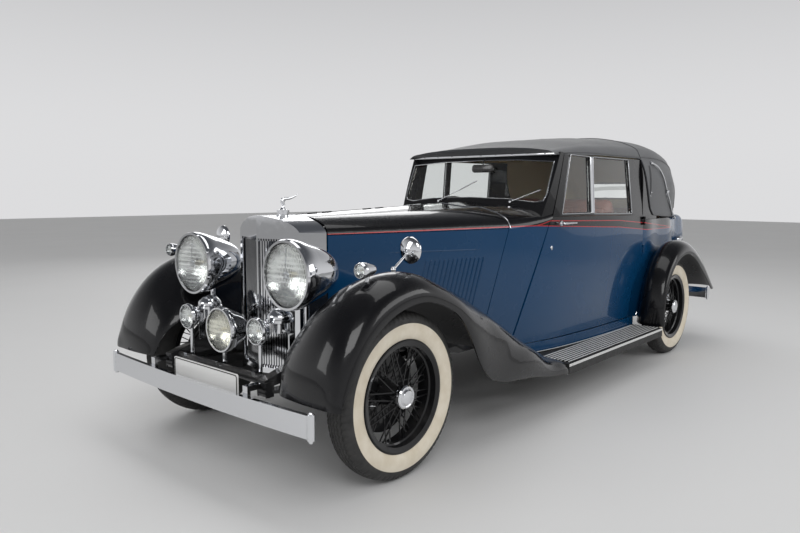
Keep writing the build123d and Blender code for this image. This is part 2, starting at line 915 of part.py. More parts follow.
def bonnet_rail():
    """The long pin of the bonnet's centre hinge, carried by the scuttle's front edge."""
    start, end = bonnet_axis()
    way = (end - start).normalized()
    return rod(start, end + way * 10, bonnet_rod)


def bonnet_shell():
    """The bonnet's skin, from the radiator shell to the scuttle."""
    stations = (40, 350, 650, 950, 1240)
    foot = bonnet_foot_rear
    return crown(stations, 0, foot - 20) - crown(stations, bonnet_thickness, foot - 60)


bonnet_gap = 6
bonnet_hinge_inset = 16
bonnet_side_hinge_distances = (230, 640, 1050)


def side_axis():
    """The two ends of the hinge between the bonnet's top and its left side, inside the skin."""
    ends = []
    for distance in (shell_rear_behind, bonnet_rear_behind):
        ends.append(Vector(behind(distance), half_width(distance) - bonnet_hinge_inset, coachline_height))
    return ends


def side_hinges():
    """The hinges between the bonnet's top and its left side: upper halves and lower halves."""
    front, rear = side_axis()
    way = (rear - front).normalized()
    upper, lower = [], []
    for distance in bonnet_side_hinge_distances:
        centre = front + (rear - front) * ((distance - shell_rear_behind) / (bonnet_rear_behind - shell_rear_behind))
        reach = half_width(distance) - 2 - centre.Y
        above = (0, reach, 9)
        below = (0, reach, -9)
        fixed, moving = hinge(tuple(centre), tuple(way), above, below, (reach**2 + 81) ** 0.5)
        upper.append(fixed)
        lower.append(moving)
    return upper, lower


def bonnet_top(knuckle_distances):
    """One half of the bonnet's top, on the left, from the centre hinge to the side hinge."""
    front = shell_rear_behind + bonnet_gap
    rear = bonnet_rear_behind - bonnet_gap
    outline = [(front, coachline_height + 2), (front, 1300), (rear, 1300), (rear, coachline_height + 2)]
    top = bonnet_shell() & across(outline, bonnet_slot, 900)
    start, end = bonnet_axis()
    way = (end - start).normalized()
    for distance in knuckle_distances:
        place = start + way * (distance - shell_rear_behind)
        near, far = place - way * 30, place + way * 30
        knuckle = rod(near, far, bonnet_knuckle)
        leaf = Plane(origin=place, x_dir=way)
        knuckle += leaf * Pos(0, -8, -0.5) * Box(60, 12, 3)
        knuckle -= rod(near - way, far + way, bonnet_rod + running_clearance)
        top += knuckle
    for leaf in side_hinges()[0]:
        top += leaf
    return top


left_knuckles = (160, 560, 960)
right_knuckles = (260, 660, 1060)


louvre_count = 14
louvre_first = 634
louvre_pitch = 31
louvre_top = 877
louvre_foot = 617
louvre_slant = 74
louvre_width = 9
louvre_depth = 5


def louvre(distance):
    """One pressed louvre: a half-round rib that leans with the bonnet's rear edge, open along its rear."""
    foot_distance = distance - louvre_slant
    top = Vector(behind(distance), half_width(distance) - louvre_width + louvre_depth, louvre_top)
    foot_y = half_width(foot_distance) - louvre_width + louvre_depth - 6
    foot = Vector(behind(foot_distance), foot_y, louvre_foot)
    rib = rod(top, foot, louvre_width) + Pos(*top) * Sphere(louvre_width) + Pos(*foot) * Sphere(louvre_width)
    front_half = [
        (distance - 2 * louvre_width, louvre_top + 2 * louvre_width),
        (distance, louvre_top + 2 * louvre_width),
        (foot_distance, louvre_foot - 2 * louvre_width),
        (foot_distance - 2 * louvre_width, louvre_foot - 2 * louvre_width),
    ]
    return rib & across(front_half, 0, 900)


def bonnet_side_left():
    """The left side panel of the bonnet, hung from the top's edge, with a row of pressed louvres."""
    front = shell_rear_behind + bonnet_gap
    rear = bonnet_rear_behind - bonnet_gap
    outline = [
        (front, bonnet_foot_front),
        (front, coachline_height - 2),
        (rear, coachline_height - 2),
        (bonnet_foot_behind - bonnet_gap, bonnet_foot_rear),
    ]
    side = bonnet_shell() & across(outline, 2.5, 900)
    for row in range(louvre_count):
        side += louvre(louvre_first + row * louvre_pitch)
    for leaf in side_hinges()[1]:
        side += leaf
    return side


# ---- Radiator ----
def v_prism(inset, foot, top):
    """A vertical prism of the radiator's plan: a shallow V in front and square behind."""
    half = shell_half_width - inset
    plan = [
        (-shell_front + inset, 0),
        (-shell_corner + inset, half),
        (shell_rear_behind, half + 4),
        (shell_rear_behind, -half - 4),
        (-shell_corner + inset, -half),
    ]
    return upright(plan, foot, top)


def radiator_shell():
    """The shell round the shutters, with a rounded top that rises to its middle, and its filler cap."""
    outer = v_prism(0, shell_foot, shell_top + 20)
    half = shell_half_width + 8
    x = behind(shell_rear_behind)
    arch = Curve() + [
        Polyline((x, half, shell_shoulder - 8), (x, half, shell_foot), (x, -half, shell_foot),
                 (x, -half, shell_shoulder - 8)),
        Spline(
            (x, -half, shell_shoulder - 8),
            (x, -0.9 * half, shell_shoulder + 38),
            (x, -0.55 * half, shell_shoulder + 76),
            (x, 0, shell_top),
            tangents=[(0, 0.1, 1), (0, 1, 0.1)],
        ),
        Spline(
            (x, 0, shell_top),
            (x, 0.55 * half, shell_shoulder + 76),
            (x, 0.9 * half, shell_shoulder + 38),
            (x, half, shell_shoulder - 8),
            tangents=[(0, 1, -0.1), (0, 0.1, -1)],
        ),
    ]
    form = extrude(make_face(arch), amount=400, dir=(1, 0, 0))
    shell = outer & form
    wall = shell_wall
    void = v_prism(wall, shell_foot + wall, shell_shoulder - 14)
    void += upright(
        [(-60, shell_half_width - wall), (400, shell_half_width - wall),
         (400, -shell_half_width + wall), (-60, -shell_half_width + wall)],
        shell_foot + wall,
        shell_shoulder - 14,
    )
    front = upright(
        [(-400, shell_half_width - wall), (0, shell_half_width - wall),
         (0, -shell_half_width + wall), (-400, -shell_half_width + wall)],
        shell_foot + wall,
        shell_shoulder - 14,
    )
    shell = shell - void - front
    neck = Pos(front_axle_x + 28, 0, shell_top - 4) * Cylinder(26, 30)
    cap = Pos(front_axle_x + 28, 0, shell_top + 15) * Cylinder(31, 12)
    shell = shell + neck + cap
    reach = frame_y - frame_width / 2 - seat_gap
    for sign in (1, -1):
        ear_y = sign * (shell_half_width - 8 + reach) / 2
        shell += Pos(behind(18), ear_y, shell_foot + 110) * Box(36, reach - shell_half_width + 8, 20)
    return shell


shutter_pitch = 13.4


def radiator_shutters():
    """Two banks of upright shutters set in a V, between a head rail, a foot rail and a middle bar."""
    wall = shell_wall
    foot = shell_foot + wall + seat_gap
    top = shell_shoulder - 14 - seat_gap
    half = shell_half_width - wall - seat_gap
    nose = -shell_front + 8
    corner = -shell_corner + 4
    rails = []
    for low, high in ((foot, foot + 10), (top - 10, top)):
        plan = [(nose, 0), (corner, half), (corner + 26, half), (nose + 26, 0),
                (corner + 26, -half), (corner, -half)]
        rails.append(upright(plan, low, high))
    bar = upright([(nose - 4, 5), (nose - 4, -5), (nose + 22, -5), (nose + 22, 5)], foot, top)
    grille = rails[0] + rails[1] + bar
    count = int(half / shutter_pitch)
    lean = (corner - nose) / half
    for index in range(1, count + 1):
        y = index * shutter_pitch
        distance = nose + lean * y + 9
        for sign in (1, -1):
            blade = Pos(behind(distance), sign * y, (foot + top) / 2) * Rot(0, 0, -sign * 38)
            grille += blade * Box(15, 2.4, top - foot)
    return grille


# ---- Rear body and boot ----
tail_start = 2684
tail_end = 4190
tail_bend = 3960
tail_quarters = (2900, 3130, 3350, 3560, 3700, 3830)
tail_top = [(3900, 1053), (4020, 1060), (4100, 1040), (4150, 985), (4178, 900), (4190, 760)]
tail_foot = [(3800, sill_height), (3980, 332), (4100, 362), (4190, 440)]
tail_shoulder = [(3300, 16), (3700, 30), (3950, 46), (4100, 64), (4150, 80), (4190, 100)]


def tail_section(distance, inset, rise, drop):
    """A section across the rear body, its shoulders rounding off towards the tail."""
    x = behind(distance)
    half = half_width(distance) - inset
    top = min(belt(distance), through(tail_top, distance)) - inset + rise
    if distance > tail_bend - 60:
        top = through(tail_top, distance) - inset + rise
    foot = through(tail_foot, distance) + inset - drop
    radius = through(tail_shoulder, distance)
    edge = half - 10
    bend = 0.293 * radius
    middle = 0.5 * (through(tail_foot, distance) + top)
    left = ThreePointArc((x, half - 20, foot), (x, half, middle), (x, edge, top - radius))
    left_shoulder = ThreePointArc(
        (x, edge, top - radius), (x, edge - bend, top - bend), (x, edge - radius, top)
    )
    over = Line((x, edge - radius, top), (x, radius - edge, top))
    right_shoulder = ThreePointArc(
        (x, radius - edge, top), (x, bend - edge, top - bend), (x, -edge, top - radius)
    )
    right = ThreePointArc((x, -edge, top - radius), (x, -half, middle), (x, 20 - half, foot))
    under = Line((x, 20 - half, foot), (x, half - 20, foot))
    return make_face(Curve() + [left, left_shoulder, over, right_shoulder, right, under])


def tail_form(inset, start=tail_start, rise=0, drop=0):
    """The closed form of the rear body, drawn in by the inset and let down by the drop."""
    stations = [start, *tail_quarters, tail_bend]
    quarters = [tail_section(d, inset, rise, drop) for d in stations]
    rear = [tail_bend, 4020, 4080, 4140, tail_end - inset]
    return loft(quarters) + loft([tail_section(d, inset, rise, drop) for d in rear])


axle_cut_radius = 215
boot_half_width = 340
boot_front = 4026
boot_foot = 486
boot_gap = 6
boot_thickness = 16
boot_hinge_y = 230


def boot_region(grow):
    """The block that takes in the boot lid's part of the tail."""
    half = boot_half_width + grow
    outline = [
        (boot_front - grow, 1300),
        (boot_front - grow, 940),
        (4120 - grow, 900),
        (4120 - grow, boot_foot - grow),
        (4400, boot_foot - grow),
        (4400, 1300),
    ]
    return across(outline, -half, half)


boot_hinge_rise = 9
boot_hinge_height = through(tail_top, boot_front) + boot_hinge_rise


def boot_hinges():
    """The boot lid's hinges: their fixed and their moving halves."""
    fixed, moving = [], []
    for sign in (1, -1):
        centre = (behind(boot_front - boot_gap / 2), sign * boot_hinge_y, boot_hinge_height)
        still, swinging = hinge(centre, (0, 1, 0), (1, 0, -0.9), (-1, 0, -0.9), 24)
        fixed.append(still)
        moving.append(swinging)
    return fixed, moving


def rear_body():
    """The quarters and tail as one hollow shell, open beneath, with the boot's opening."""
    outer = tail_form(0)
    shell = outer - tail_form(panel, tail_start - 20, 0, 200)
    cabin_start = door_rear_behind - 20
    well = [(cabin_start, 900), (cabin_start, 1300), (3930, 1300), (3930, 1010)]
    cabin = tail_form(panel, tail_start - 20, 200) & across(well, -900, 900)
    shell = shell - cabin
    shell = shell - boot_region(boot_gap)
    door_space = [(tail_start - 100, 1300), (door_rear_behind + door_gap, 1300)]
    door_space += [(d + door_gap, z) for d, z in door_rear_edge[:-1]]
    door_space += [(tail_start, 200), (tail_start - 100, 200)]
    shell = shell - across(door_space, -900, 900)
    shell = shell - Pos(rear_axle_x, 0, tyre_radius) * Rot(90, 0, 0) * Cylinder(axle_cut_radius, 1800)
    shell = shell - wheel_room(1) - wheel_room(-1)
    for still in door_hinges()[0]:
        shell = shell + still + other_side(still)
    for still in boot_hinges()[0]:
        shell = shell + still
    return shell


def boot_lid():
    """The boot's lid, a panel of the tail's own form with its hinge leaves."""
    lid = (tail_form(0) - tail_form(boot_thickness, tail_start - 20, 0, 200)) & boot_region(0)
    for leaf in boot_hinges()[1]:
        lid += leaf
    return lid


arch_radius = 425


# ---- Wings ----
def crescent(distance, height, angle, outline):
    """A thin section of a wing, in the plane of the wing's outward direction at a point of its crown."""
    nx, nz = cos(radians(angle)), sin(radians(angle))
    inner = []
    for index, (y, drop) in enumerate(outline):
        before = outline[max(index - 1, 0)]
        after = outline[min(index + 1, len(outline) - 1)]
        ty, td = after[0] - before[0], after[1] - before[1]
        size = (ty**2 + td**2) ** 0.5
        inner.append((y - wing_thickness * td / size, drop + wing_thickness * ty / size))
    def point(pair):
        return (behind(distance) - nx * pair[1], pair[0], height - nz * pair[1])
    top = [point(pair) for pair in outline]
    below = [point(pair) for pair in reversed(inner)]
    edges = [Spline(*top), Line(top[-1], below[0]), Spline(*below), Line(below[-1], top[0])]
    return make_face(Curve() + edges)


front_wing_crown_y = 700
rear_wing_crown_y = 725

# Front wing: distance behind, crown height, outward angle (0 forward, 90 up), outer drop, inner Y, inner drop.
front_wing_stations = [
    (-486, 425, 0, 24, 500, 22),
    (-484, 520, 6, 76, 470, 60),
    (-452, 625, 22, 103, 440, 110),
    (-395, 722, 38, 112, 415, 180),
    (-310, 812, 52, 124, 400, 260),
    (-190, 880, 68, 130, 390, 340),
    (-40, 908, 84, 124, 390, 380),
    (130, 880, 100, 112, 390, 372),
    (330, 795, 115, 120, 390, 318),
    (450, 743, 118, 185, 390, 276),
    (560, 690, 119, 262, 392, 240),
    (820, 548, 121, 280, 436, 136),
    (1080, 398, 118, 150, 480, 74),
    (1240, 318, 108, 88, 520, 34),
    (1330, 293, 97, 78, 540, 24),
]


def front_wing_left():
    """The left front wing, over the steered wheel and down to the running board."""
    faces = []
    for distance, height, angle, outer_drop, inner_y, inner_drop in front_wing_stations:
        crown_y = front_wing_crown_y
        outline = [
            (inner_y, inner_drop),
            (inner_y + 0.07 * (crown_y - inner_y), 0.76 * inner_drop),
            (inner_y + 0.22 * (crown_y - inner_y), 0.48 * inner_drop),
            (inner_y + 0.52 * (crown_y - inner_y), 0.17 * inner_drop),
            (crown_y, 0),
            (crown_y + 0.56 * (wing_outer_y - crown_y), 0.1 * outer_drop),
            (crown_y + 0.9 * (wing_outer_y - crown_y), 0.42 * outer_drop),
            (wing_outer_y, outer_drop),
        ]
        faces.append(crescent(distance, height, angle, outline))
    return loft(faces)


# Rear wing: angle about the axle (0 forward, 90 up), crown radius, inner drop.
rear_wing_stations = [
    (-12, 452, 74),
    (2, 454, 120),
    (15, 460, 158),
    (40, 478, 172),
    (65, 498, 158),
    (90, 512, 120),
    (115, 528, 88),
    (136, 560, 66),
    (152, 610, 54),
    (164, 680, 42),
    (173, 770, 30),
]


def wheel_room(side):
    """The space a rear wheel needs to turn in."""
    room = Cylinder(tyre_radius + wheel_clearance, tyre_width + 2 * wheel_clearance)
    return Pos(rear_axle_x, side * wheel_y, tyre_radius) * Rot(90, 0, 0) * room


def rear_wing_left():
    """The left rear wing, trimmed to lie along the body's side."""
    faces = []
    for angle, radius, inner_drop in rear_wing_stations:
        distance = drawn_wheelbase - radius * cos(radians(angle))
        height = tyre_radius + radius * sin(radians(angle))
        crown_y = rear_wing_crown_y
        inner_y = half_width(min(distance, drawn_wheelbase + 300)) - 36
        outer_drop = radius - max(arch_radius - 10, radius - 130)
        outline = [
            (inner_y, 1.25 * inner_drop),
            (inner_y + 0.3 * (crown_y - inner_y), 0.7 * inner_drop),
            (inner_y + 0.6 * (crown_y - inner_y), 0.22 * inner_drop),
            (crown_y, 0),
            (crown_y + 0.6 * (wing_outer_y - crown_y), 0.12 * outer_drop),
            (crown_y + 0.92 * (wing_outer_y - crown_y), 0.48 * outer_drop),
            (wing_outer_y, outer_drop),
        ]
        faces.append(crescent(distance, height, angle, outline))
    wing = loft(faces)
    under = upright(plan_outline(tail_start - 40, tail_end - 60, -seat_gap), 150, sill_height + 8)
    pieces = wing - tail_form(-seat_gap) - under - wheel_room(1)
    return sorted(pieces.solids(), key=lambda solid: solid.volume)[-1]


# ---- Head, windscreen and glass ----
hood_sections = [
    # distance behind, base half width, cant height, cant half width, top height
    (1612, 584, 1470, 584, 1530),
    (2000, 614, 1490, 592, 1600),
    (2422, 630, 1492, 594, 1642),
    (2835, 628, 1496, 586, 1666),
    (3200, 612, 1498, 572, 1674),
    (3480, 584, 1476, 548, 1640),
    (3680, 552, 1425, 522, 1568),
    (3820, 508, 1340, 484, 1456),
    (3905, 462, 1235, 438, 1320),
    (3950, 416, 1120, 388, 1162),
]


def hood_section(row, inset):
    """A section across the head: sides leaning in to the cant rail under an arched roof."""
    distance, low, side_height, side, top = row
    x = behind(distance)
    low, side, top = low - inset, side - inset, top - inset
    foot = belt(distance) - inset
    rise = top - side_height
    half_ring = [
        (low, foot),
        (side, side_height - 0.25 * inset),
        (0.82 * side, side_height + 0.62 * rise),
        (0.45 * side, side_height + 0.93 * rise),
        (0, top),
    ]
    left = Spline(*[(x, y, z) for y, z in half_ring[1:]], tangents=[(0, -0.25, 1), (0, -1, 0)])
    right = Spline(*[(x, -y, z) for y, z in reversed(half_ring[1:])], tangents=[(0, -1, 0), (0, -0.25, -1)])
    rest = Polyline((x, -side, half_ring[1][1]), (x, -low, foot), (x, low, foot), (x, side, half_ring[1][1]))
    return make_face(Curve() + [left, right, rest])


hood_thickness = 24


def hood_side(distance, height):
    """Half width of the head's outside below its cant rail."""
    low = through([(row[0], row[1]) for row in hood_sections], distance)
    side_height = through([(row[0], row[2]) for row in hood_sections], distance)
    high = through([(row[0], row[3]) for row in hood_sections], distance)
    share = (height - belt(distance)) / (side_height - belt(distance))
    return low + (high - low) * min(share, 1)


def hood():
    """The folding head: a cloth roof from the windscreen back, and quarters down to the belt."""
    outer = loft([hood_section(row, 0) for row in hood_sections])
    inner_rows = [(hood_sections[0][0] - 20, *hood_sections[0][1:])] + hood_sections[1:-1]
    inner_rows.append((hood_sections[-1][0] - hood_thickness, *hood_sections[-1][1:]))
    inner = loft([hood_section(row, hood_thickness) for row in inner_rows])
    shell = outer - inner
    side = [(1500, 900), (1500, screen_top)]
    side += [(d, cant(d) + 1) for d in (1720, 1900, 2200, 2600)]
    side += [(door_rear_behind + door_gap, cant(door_rear_behind) + 1), (door_rear_behind + door_gap, 900)]
    shell = shell - across(side, -900, 900)
    skirt_start = door_rear_behind - 10
    skirt = [(skirt_start, 900)]
    skirt += [(d, belt(d) + seat_gap) for d in (skirt_start, 3100, 3400, 3650, 3800)]
    skirt += [(3960, tail_top[1][1] + seat_gap), (3960, 900)]
    shell = shell - across(skirt, -900, 900)
    backlight = across([(3600, 1196), (3600, 1330), (4000, 1330), (4000, 1196)], -300, 300)
    return sorted((shell - backlight).solids(), key=lambda solid: solid.volume)[-1]


screen_top = 1494


def screen_line(height, offset=0):
    """Distance behind of the windscreen's front at a height, moved back by the offset."""
    slope = (screen_head_behind - screen_foot_behind) / (screen_head_height - screen_foot_height)
    return screen_foot_behind + slope * (height - screen_foot_height) + offset


def windscreen_slab(offset_from, offset_to, foot_offset_to):
    """A slab across the car that leans back with the windscreen, between two offsets behind its front."""
    outline = [
        (screen_line(1060, offset_from), 1060),
        (screen_line(1520, offset_from), 1520),
        (screen_line(1520, offset_to), 1520),
        (screen_line(1060, foot_offset_to), 1060),
    ]
    return across(outline, -900, 900)


windscreen_opening = [
    (540, 1196), (554, 1232), (552, 1432), (300, 1448), (0, 1452), (-300, 1448), (-552, 1432),
    (-554, 1232), (-540, 1196), (-480, 1186), (-300, 1204), (0, 1212), (300, 1204), (480, 1186),
]


def windscreen_frame():
    """The windscreen's pillars, head rail and foot rail, standing on the scuttle."""
    slab = windscreen_slab(0, screen_frame_depth, screen_frame_depth)
    top = screen_top - seat_gap
    front = [
        (-640, 1070), (-640, top), (640, top), (640, 1070), (300, 1150), (0, 1160), (-300, 1150),
    ]
    frame = slab & along(front, 1400, 1800)
    frame = frame - along(windscreen_opening, 1400, 1800)
    pillar_slab = windscreen_slab(0, screen_frame_depth + 6, 104)
    for sign in (1, -1):
        pillar = [(sign * 556, 1070), (sign * 556, 1490), (sign * 640, 1490), (sign * 640, 1070)]
        frame = frame + (pillar_slab & along(pillar, 1400, 1800))
    frame = frame & glasshouse(0)
    return frame - crown(scuttle_stations, -seat_gap, sill_height)


wiper_arms = ((-250, 1.18, 300), (318, 1.5, 205))
wiper_foot_height = 1186
wiper_blade = 210


def wipers(frame):
    """Two wipers at rest: each a spindle through the screen's foot rail, an arm and a blade on the glass."""
    pieces = []
    tilt = (screen_head_behind - screen_foot_behind) / (screen_head_height - screen_foot_height)
    for y, lean, reach in wiper_arms:
        z = wiper_foot_height
        front = behind(screen_line(z))
        spindle = rod((front - 6, y, z), (front + 16, y, z), 7)
        rise = reach / lean / 2
        knee = Vector(front + 13, y, z)
        tip = Vector(front + 11 - tilt * rise, y + reach * 0.86, z + rise)
        along_arm = (tip - knee).normalized()
        arm = rod(knee, tip, 2.6) + Pos(*tip) * Sphere(4)
        blade_start = tip - along_arm * (wiper_blade * 0.62) - Vector(5, 0, 0)
        blade_end = tip + along_arm * (wiper_blade * 0.08) - Vector(5, 0, 0)
        blade = rod(blade_start, blade_end, 3.4)
        clip = rod(tip, tip - Vector(5, 0, 0), 3)
        pieces.append(standing_on(spindle + arm + blade + clip, frame, (1, 0, 0)))
    return pieces


def fixed_glass():
    """The windscreen's pane and the head's back light."""
    pane = windscreen_slab(14, 20, 20)
    inner = [(y - seat_gap if y > 0 else y + seat_gap if y < 0 else 0, z) for y, z in windscreen_opening]
    inner = [(y, z + (seat_gap if z < 1300 else -seat_gap)) for y, z in inner]
    screen = pane & along(inner, 1400, 1800)
    sheet = loft([hood_section(row, 9) for row in hood_sections[3:]])
    sheet = sheet - loft([hood_section(row, 14) for row in hood_sections[3:-1]])
    light = [(3620, 1196 + seat_gap), (3620, 1330 - seat_gap), (3920, 1330 - seat_gap), (3920, 1196 + seat_gap)]
    back = sheet & across(light, -300 + seat_gap, 300 - seat_gap)
    return [screen, back]


# ---- Floor, running boards and bumpers ----
def plan_outline(d_from, d_to, inset, limit=2000):
    """A closed plan outline that follows the body's sides, drawn in by the inset."""
    stations = [d_from + (d_to - d_from) * step / 8 for step in range(9)]
    left = [(d, min(half_width(d) - inset, limit)) for d in stations]
    return left + [(d, -y) for d, y in reversed(left)]


floor_height = 456.3
rear_floor_height = 578


kick_inset = 84
kick_thickness = 6


def floor():
    """The floor pan with its sills under the doors and a raised pan over the rear axle."""
    front, step, rear = 1254, 2900, 4080
    kick_inner = kick_inset + kick_thickness
    sill_end = tail_start - 2 * seat_gap
    pan = upright(plan_outline(front, step, kick_inner - 2), floor_height, floor_height + 8)
    sill = upright(plan_outline(1300, sill_end, 12), sill_top - 35, sill_top)
    sill -= upright(plan_outline(1290, sill_end + 20, kick_inner), 280, 345)
    kick = upright(plan_outline(1300, sill_end, kick_inset), sill_top - 35, floor_height + 8)
    kick -= upright(plan_outline(1290, sill_end + 20, kick_inner), 280, 600)
    riser = upright(plan_outline(step - 8, step, kick_inner), floor_height, rear_floor_height + 6)
    rear_pan = upright(plan_outline(step - 8, rear, panel + 8), rear_floor_height, rear_floor_height + 6)
    return pan + sill + kick + riser + rear_pan - wheel_room(1) - wheel_room(-1)


sill_top = 331
board_front = 1338
board_rear = 2756
board_outer_y = 852
rib_count = 8


def running_board_left():
    """The left running board with its tread ribs and its outer skirt."""
    skirt = 60
    top = running_board_top
    inner = [(d, half_width(d) - 12) for d in (board_front, 1650, 2000, 2380, board_rear)]
    plan = inner + [(board_rear, board_outer_y), (board_front, board_outer_y)]
    board = upright(plan, top - running_board_thickness, top)
    lip = [(board_front, board_outer_y - 16), (board_rear, board_outer_y - 16),
           (board_rear, board_outer_y), (board_front, board_outer_y)]
    board += upright(lip, top - skirt, top)
    pitch = 24
    for index in range(rib_count):
        y = board_outer_y - 22 - pitch * index
        rib = Pos(behind((board_front + board_rear) / 2), y, top + 3) * Box(board_rear - board_front - 60, 9, 6.5)
        board += rib
    return board


bumper_height = 366
bumper_depth = 92


def bumper_blade(x, outward, half, sweep_back):
    """A bumper blade bowed a little in plan, with a rounded cap at each end; outward is 1 in front, -1 behind."""
    thick = 20
    low, high = bumper_height - bumper_depth / 2, bumper_height + bumper_depth / 2
    edges = [
        ThreePointArc((x - outward * sweep_back, half, low), (x, 0, low), (x - outward * sweep_back, -half, low)),
        Line((x - outward * sweep_back, -half, low), (x - outward * (sweep_back + thick), -half, low)),
        ThreePointArc(
            (x - outward * (sweep_back + thick), -half, low),
            (x - outward * thick, 0, low),
            (x - outward * (sweep_back + thick), half, low),
        ),
        Line((x - outward * (sweep_back + thick), half, low), (x - outward * sweep_back, half, low)),
    ]
    blade = extrude(make_face(Curve() + edges), amount=high - low, dir=(0, 0, 1))
    for sign in (1, -1):
        cap_x = x - outward * (sweep_back + thick / 2)
        blade += Pos(cap_x, sign * half, bumper_height) * Cylinder(15, bumper_depth + 8)
    return blade


def front_bumper():
    """The front blade on two irons from the frame's horns."""
    face = front_axle_x + front_overhang
    blade = bumper_blade(face, 1, 758, 26)
    start = front_axle_x + 452 + seat_gap
    end = face - 26
    for sign in (1, -1):
        y = sign * frame_y
        blade += Pos((start + end) / 2, y, 440) * Box(end - start, 32, 22)
        blade += Pos(end - 8, y, 405) * Box(16, 32, 92)
    return blade


def rear_bumper():
    """The rear blade on two irons from the frame's tails."""
    face = rear_axle_x - rear_overhang
    blade = bumper_blade(face, -1, 720, 26)
    for sign in (1, -1):
        reach = face + 12
        end = behind(3900) - seat_gap
        y = sign * frame_y
        blade += Pos((reach + end) / 2, y, 416) * Box(end - reach, 34, 18)
        blade += Pos(reach + 8, y, 396) * Box(16, 34, 58)
    return blade


def number_plate():
    """The plain plate behind the bumper's blade."""
    plate = Pos(number_plate_x, 0, number_plate_height) * Box(plate_thickness, 500, 112)
    return fillet(plate.edges().filter_by(Axis.X), 10)


# ---- Lamps and horns ----
headlamp_beside = 135
headlamp_y = shell_half_width + headlamp_beside
headlamp_height = 887
headlamp_ahead = 307
lens_radius = 145
lamp_wall = 4


def lamp(x, y, z, radius, depth):
    """A lamp's bowl, open to the front, with a rolled rim."""
    rim = radius * 1.07
    wall = lamp_wall
    profile = [
        Spline(
            (0, rim),
            (-0.3 * depth, 0.97 * radius),
            (-0.72 * depth, 0.7 * radius),
            (-depth, 0),
            tangents=[(-1, 0.1), (0, -1)],
        ),
        Line((-depth, 0), (-depth + 2 * wall, 0)),
        Spline(
            (-depth + 2 * wall, 0),
            (-0.7 * depth, 0.7 * radius - 2 * wall),
            (-0.3 * depth, 0.97 * radius - 2 * wall),
            (-wall, radius - wall),
            tangents=[(0, 1), (1, 0.15)],
        ),
        Polyline((-wall, radius - wall), (wall + 6, radius - wall), (wall + 6, rim - wall), (0, rim)),
    ]
    bowl = revolve(make_face(Curve() + profile), Axis((0, 0, 0), (1, 0, 0)))
    return Pos(x, y, z) * bowl


def lens(x, y, z, radius):
    """A domed lens that sits in a lamp's rim."""
    r = radius - lamp_wall - seat_gap
    dome = 0.1 * radius
    arc = ThreePointArc((0, 0), (-0.25 * dome, r / 2), (-dome, r))
    outline = Curve() + [arc, Polyline((-dome, r), (-dome - 5, r), (-dome - 5, 0), (0, 0))]
    disc = revolve(make_face(outline), Axis((0, 0, 0), (1, 0, 0)))
    return Pos(x + dome + lamp_wall, y, z) * disc


def headlamps(frame):
    """The two big headlamps on posts from the frame."""
    lamps = []
    for sign in (1, -1):
        x = front_axle_x + headlamp_ahead
        y = sign * headlamp_y
        bowl = lamp(x, y, headlamp_height, lens_radius, 270)
        post = rod((x - 110, y, 480), (x - 110, y, headlamp_height - lens_radius + 20), 13)
        post += Pos(x - 110, y, 512) * Box(56, 34, 40)
        post = post - Pos(x, y, headlamp_height) * Rot(0, 90, 0) * Cylinder(lens_radius - 24, 260)
        lamps.append(standing_on(bowl + post, frame))
    return lamps


lamp_bar_x = front_axle_x + 400
fog_radius = 99
small_lamp_radius = 58
small_lamp_y = 268
small_lamp_depth = 60


def auxiliary_lamps(frame):
    """The large lamp in the middle and a small one each side, on stems from the front cross tube."""
    lamps = []
    for x, y, z, radius, depth in (
        (lamp_bar_x, 0, 615, fog_radius, 130),
        (lamp_bar_x, small_lamp_y, 645, small_lamp_radius, small_lamp_depth),
        (lamp_bar_x, -small_lamp_y, 645, small_lamp_radius, small_lamp_depth),
    ):
        bowl = lamp(x, y, z, radius, depth)
        stem_x = x - 20
        stem = rod((stem_x, y, 460), (stem_x, y, z - radius + 6), 9)
        stem = stem - Pos(x, y, z) * Rot(0, 90, 0) * Cylinder(radius - 12, 200)
        saddle = Pos(behind(-400), y, 458) * Box(40, 26, 22)
        lamps.append(standing_on(bowl + stem + saddle, frame))
    return lamps


horn_y = 272
horn_ahead = 276
horn_top = 733
horn_radius = 58


def horns(frame):
    """A pair of domed horns facing upwards, each on a bracket from the frame."""
    pair = []
    for sign in (1, -1):
        x = front_axle_x + horn_ahead
        y = sign * horn_y
        r = horn_radius
        outline = Curve() + [
            Spline((0, 0, 0), (0.55 * r, 0, -7), (0.86 * r, 0, -22), (r, 0, -46), tangents=[(1, 0, 0), (0, 0, -1)]),
            Polyline(
                (r, 0, -46), (r + 5, 0, -48), (r + 5, 0, -60), (r - 8, 0, -64), (r - 26, 0, -70),
                (r - 26, 0, -110), (0, 0, -110), (0, 0, 0),
            ),
        ]
        horn = Pos(x, y, horn_top) * revolve(make_face(outline), Axis((0, 0, 0), (0, 0, 1)))
        low = horn_top - 96
        knee_y = sign * (frame_y - frame_width / 2 + 8)
        horn += Pos(x, (y + knee_y) / 2, low) * Box(26, abs(knee_y - y) + 16, 8)
        horn += Pos(x, knee_y, (low + 470) / 2) * Box(26, 8, low - 470)
        pair.append(standing_on(horn, frame))
    return pair


side_lamp_ahead = 220
side_lamp_y = 722
side_lamp_height = 928


mirror_radius = 60
mirror_height = 990
mirror_behind = 104
mirror_foot_behind = -6
mirror_y = 704


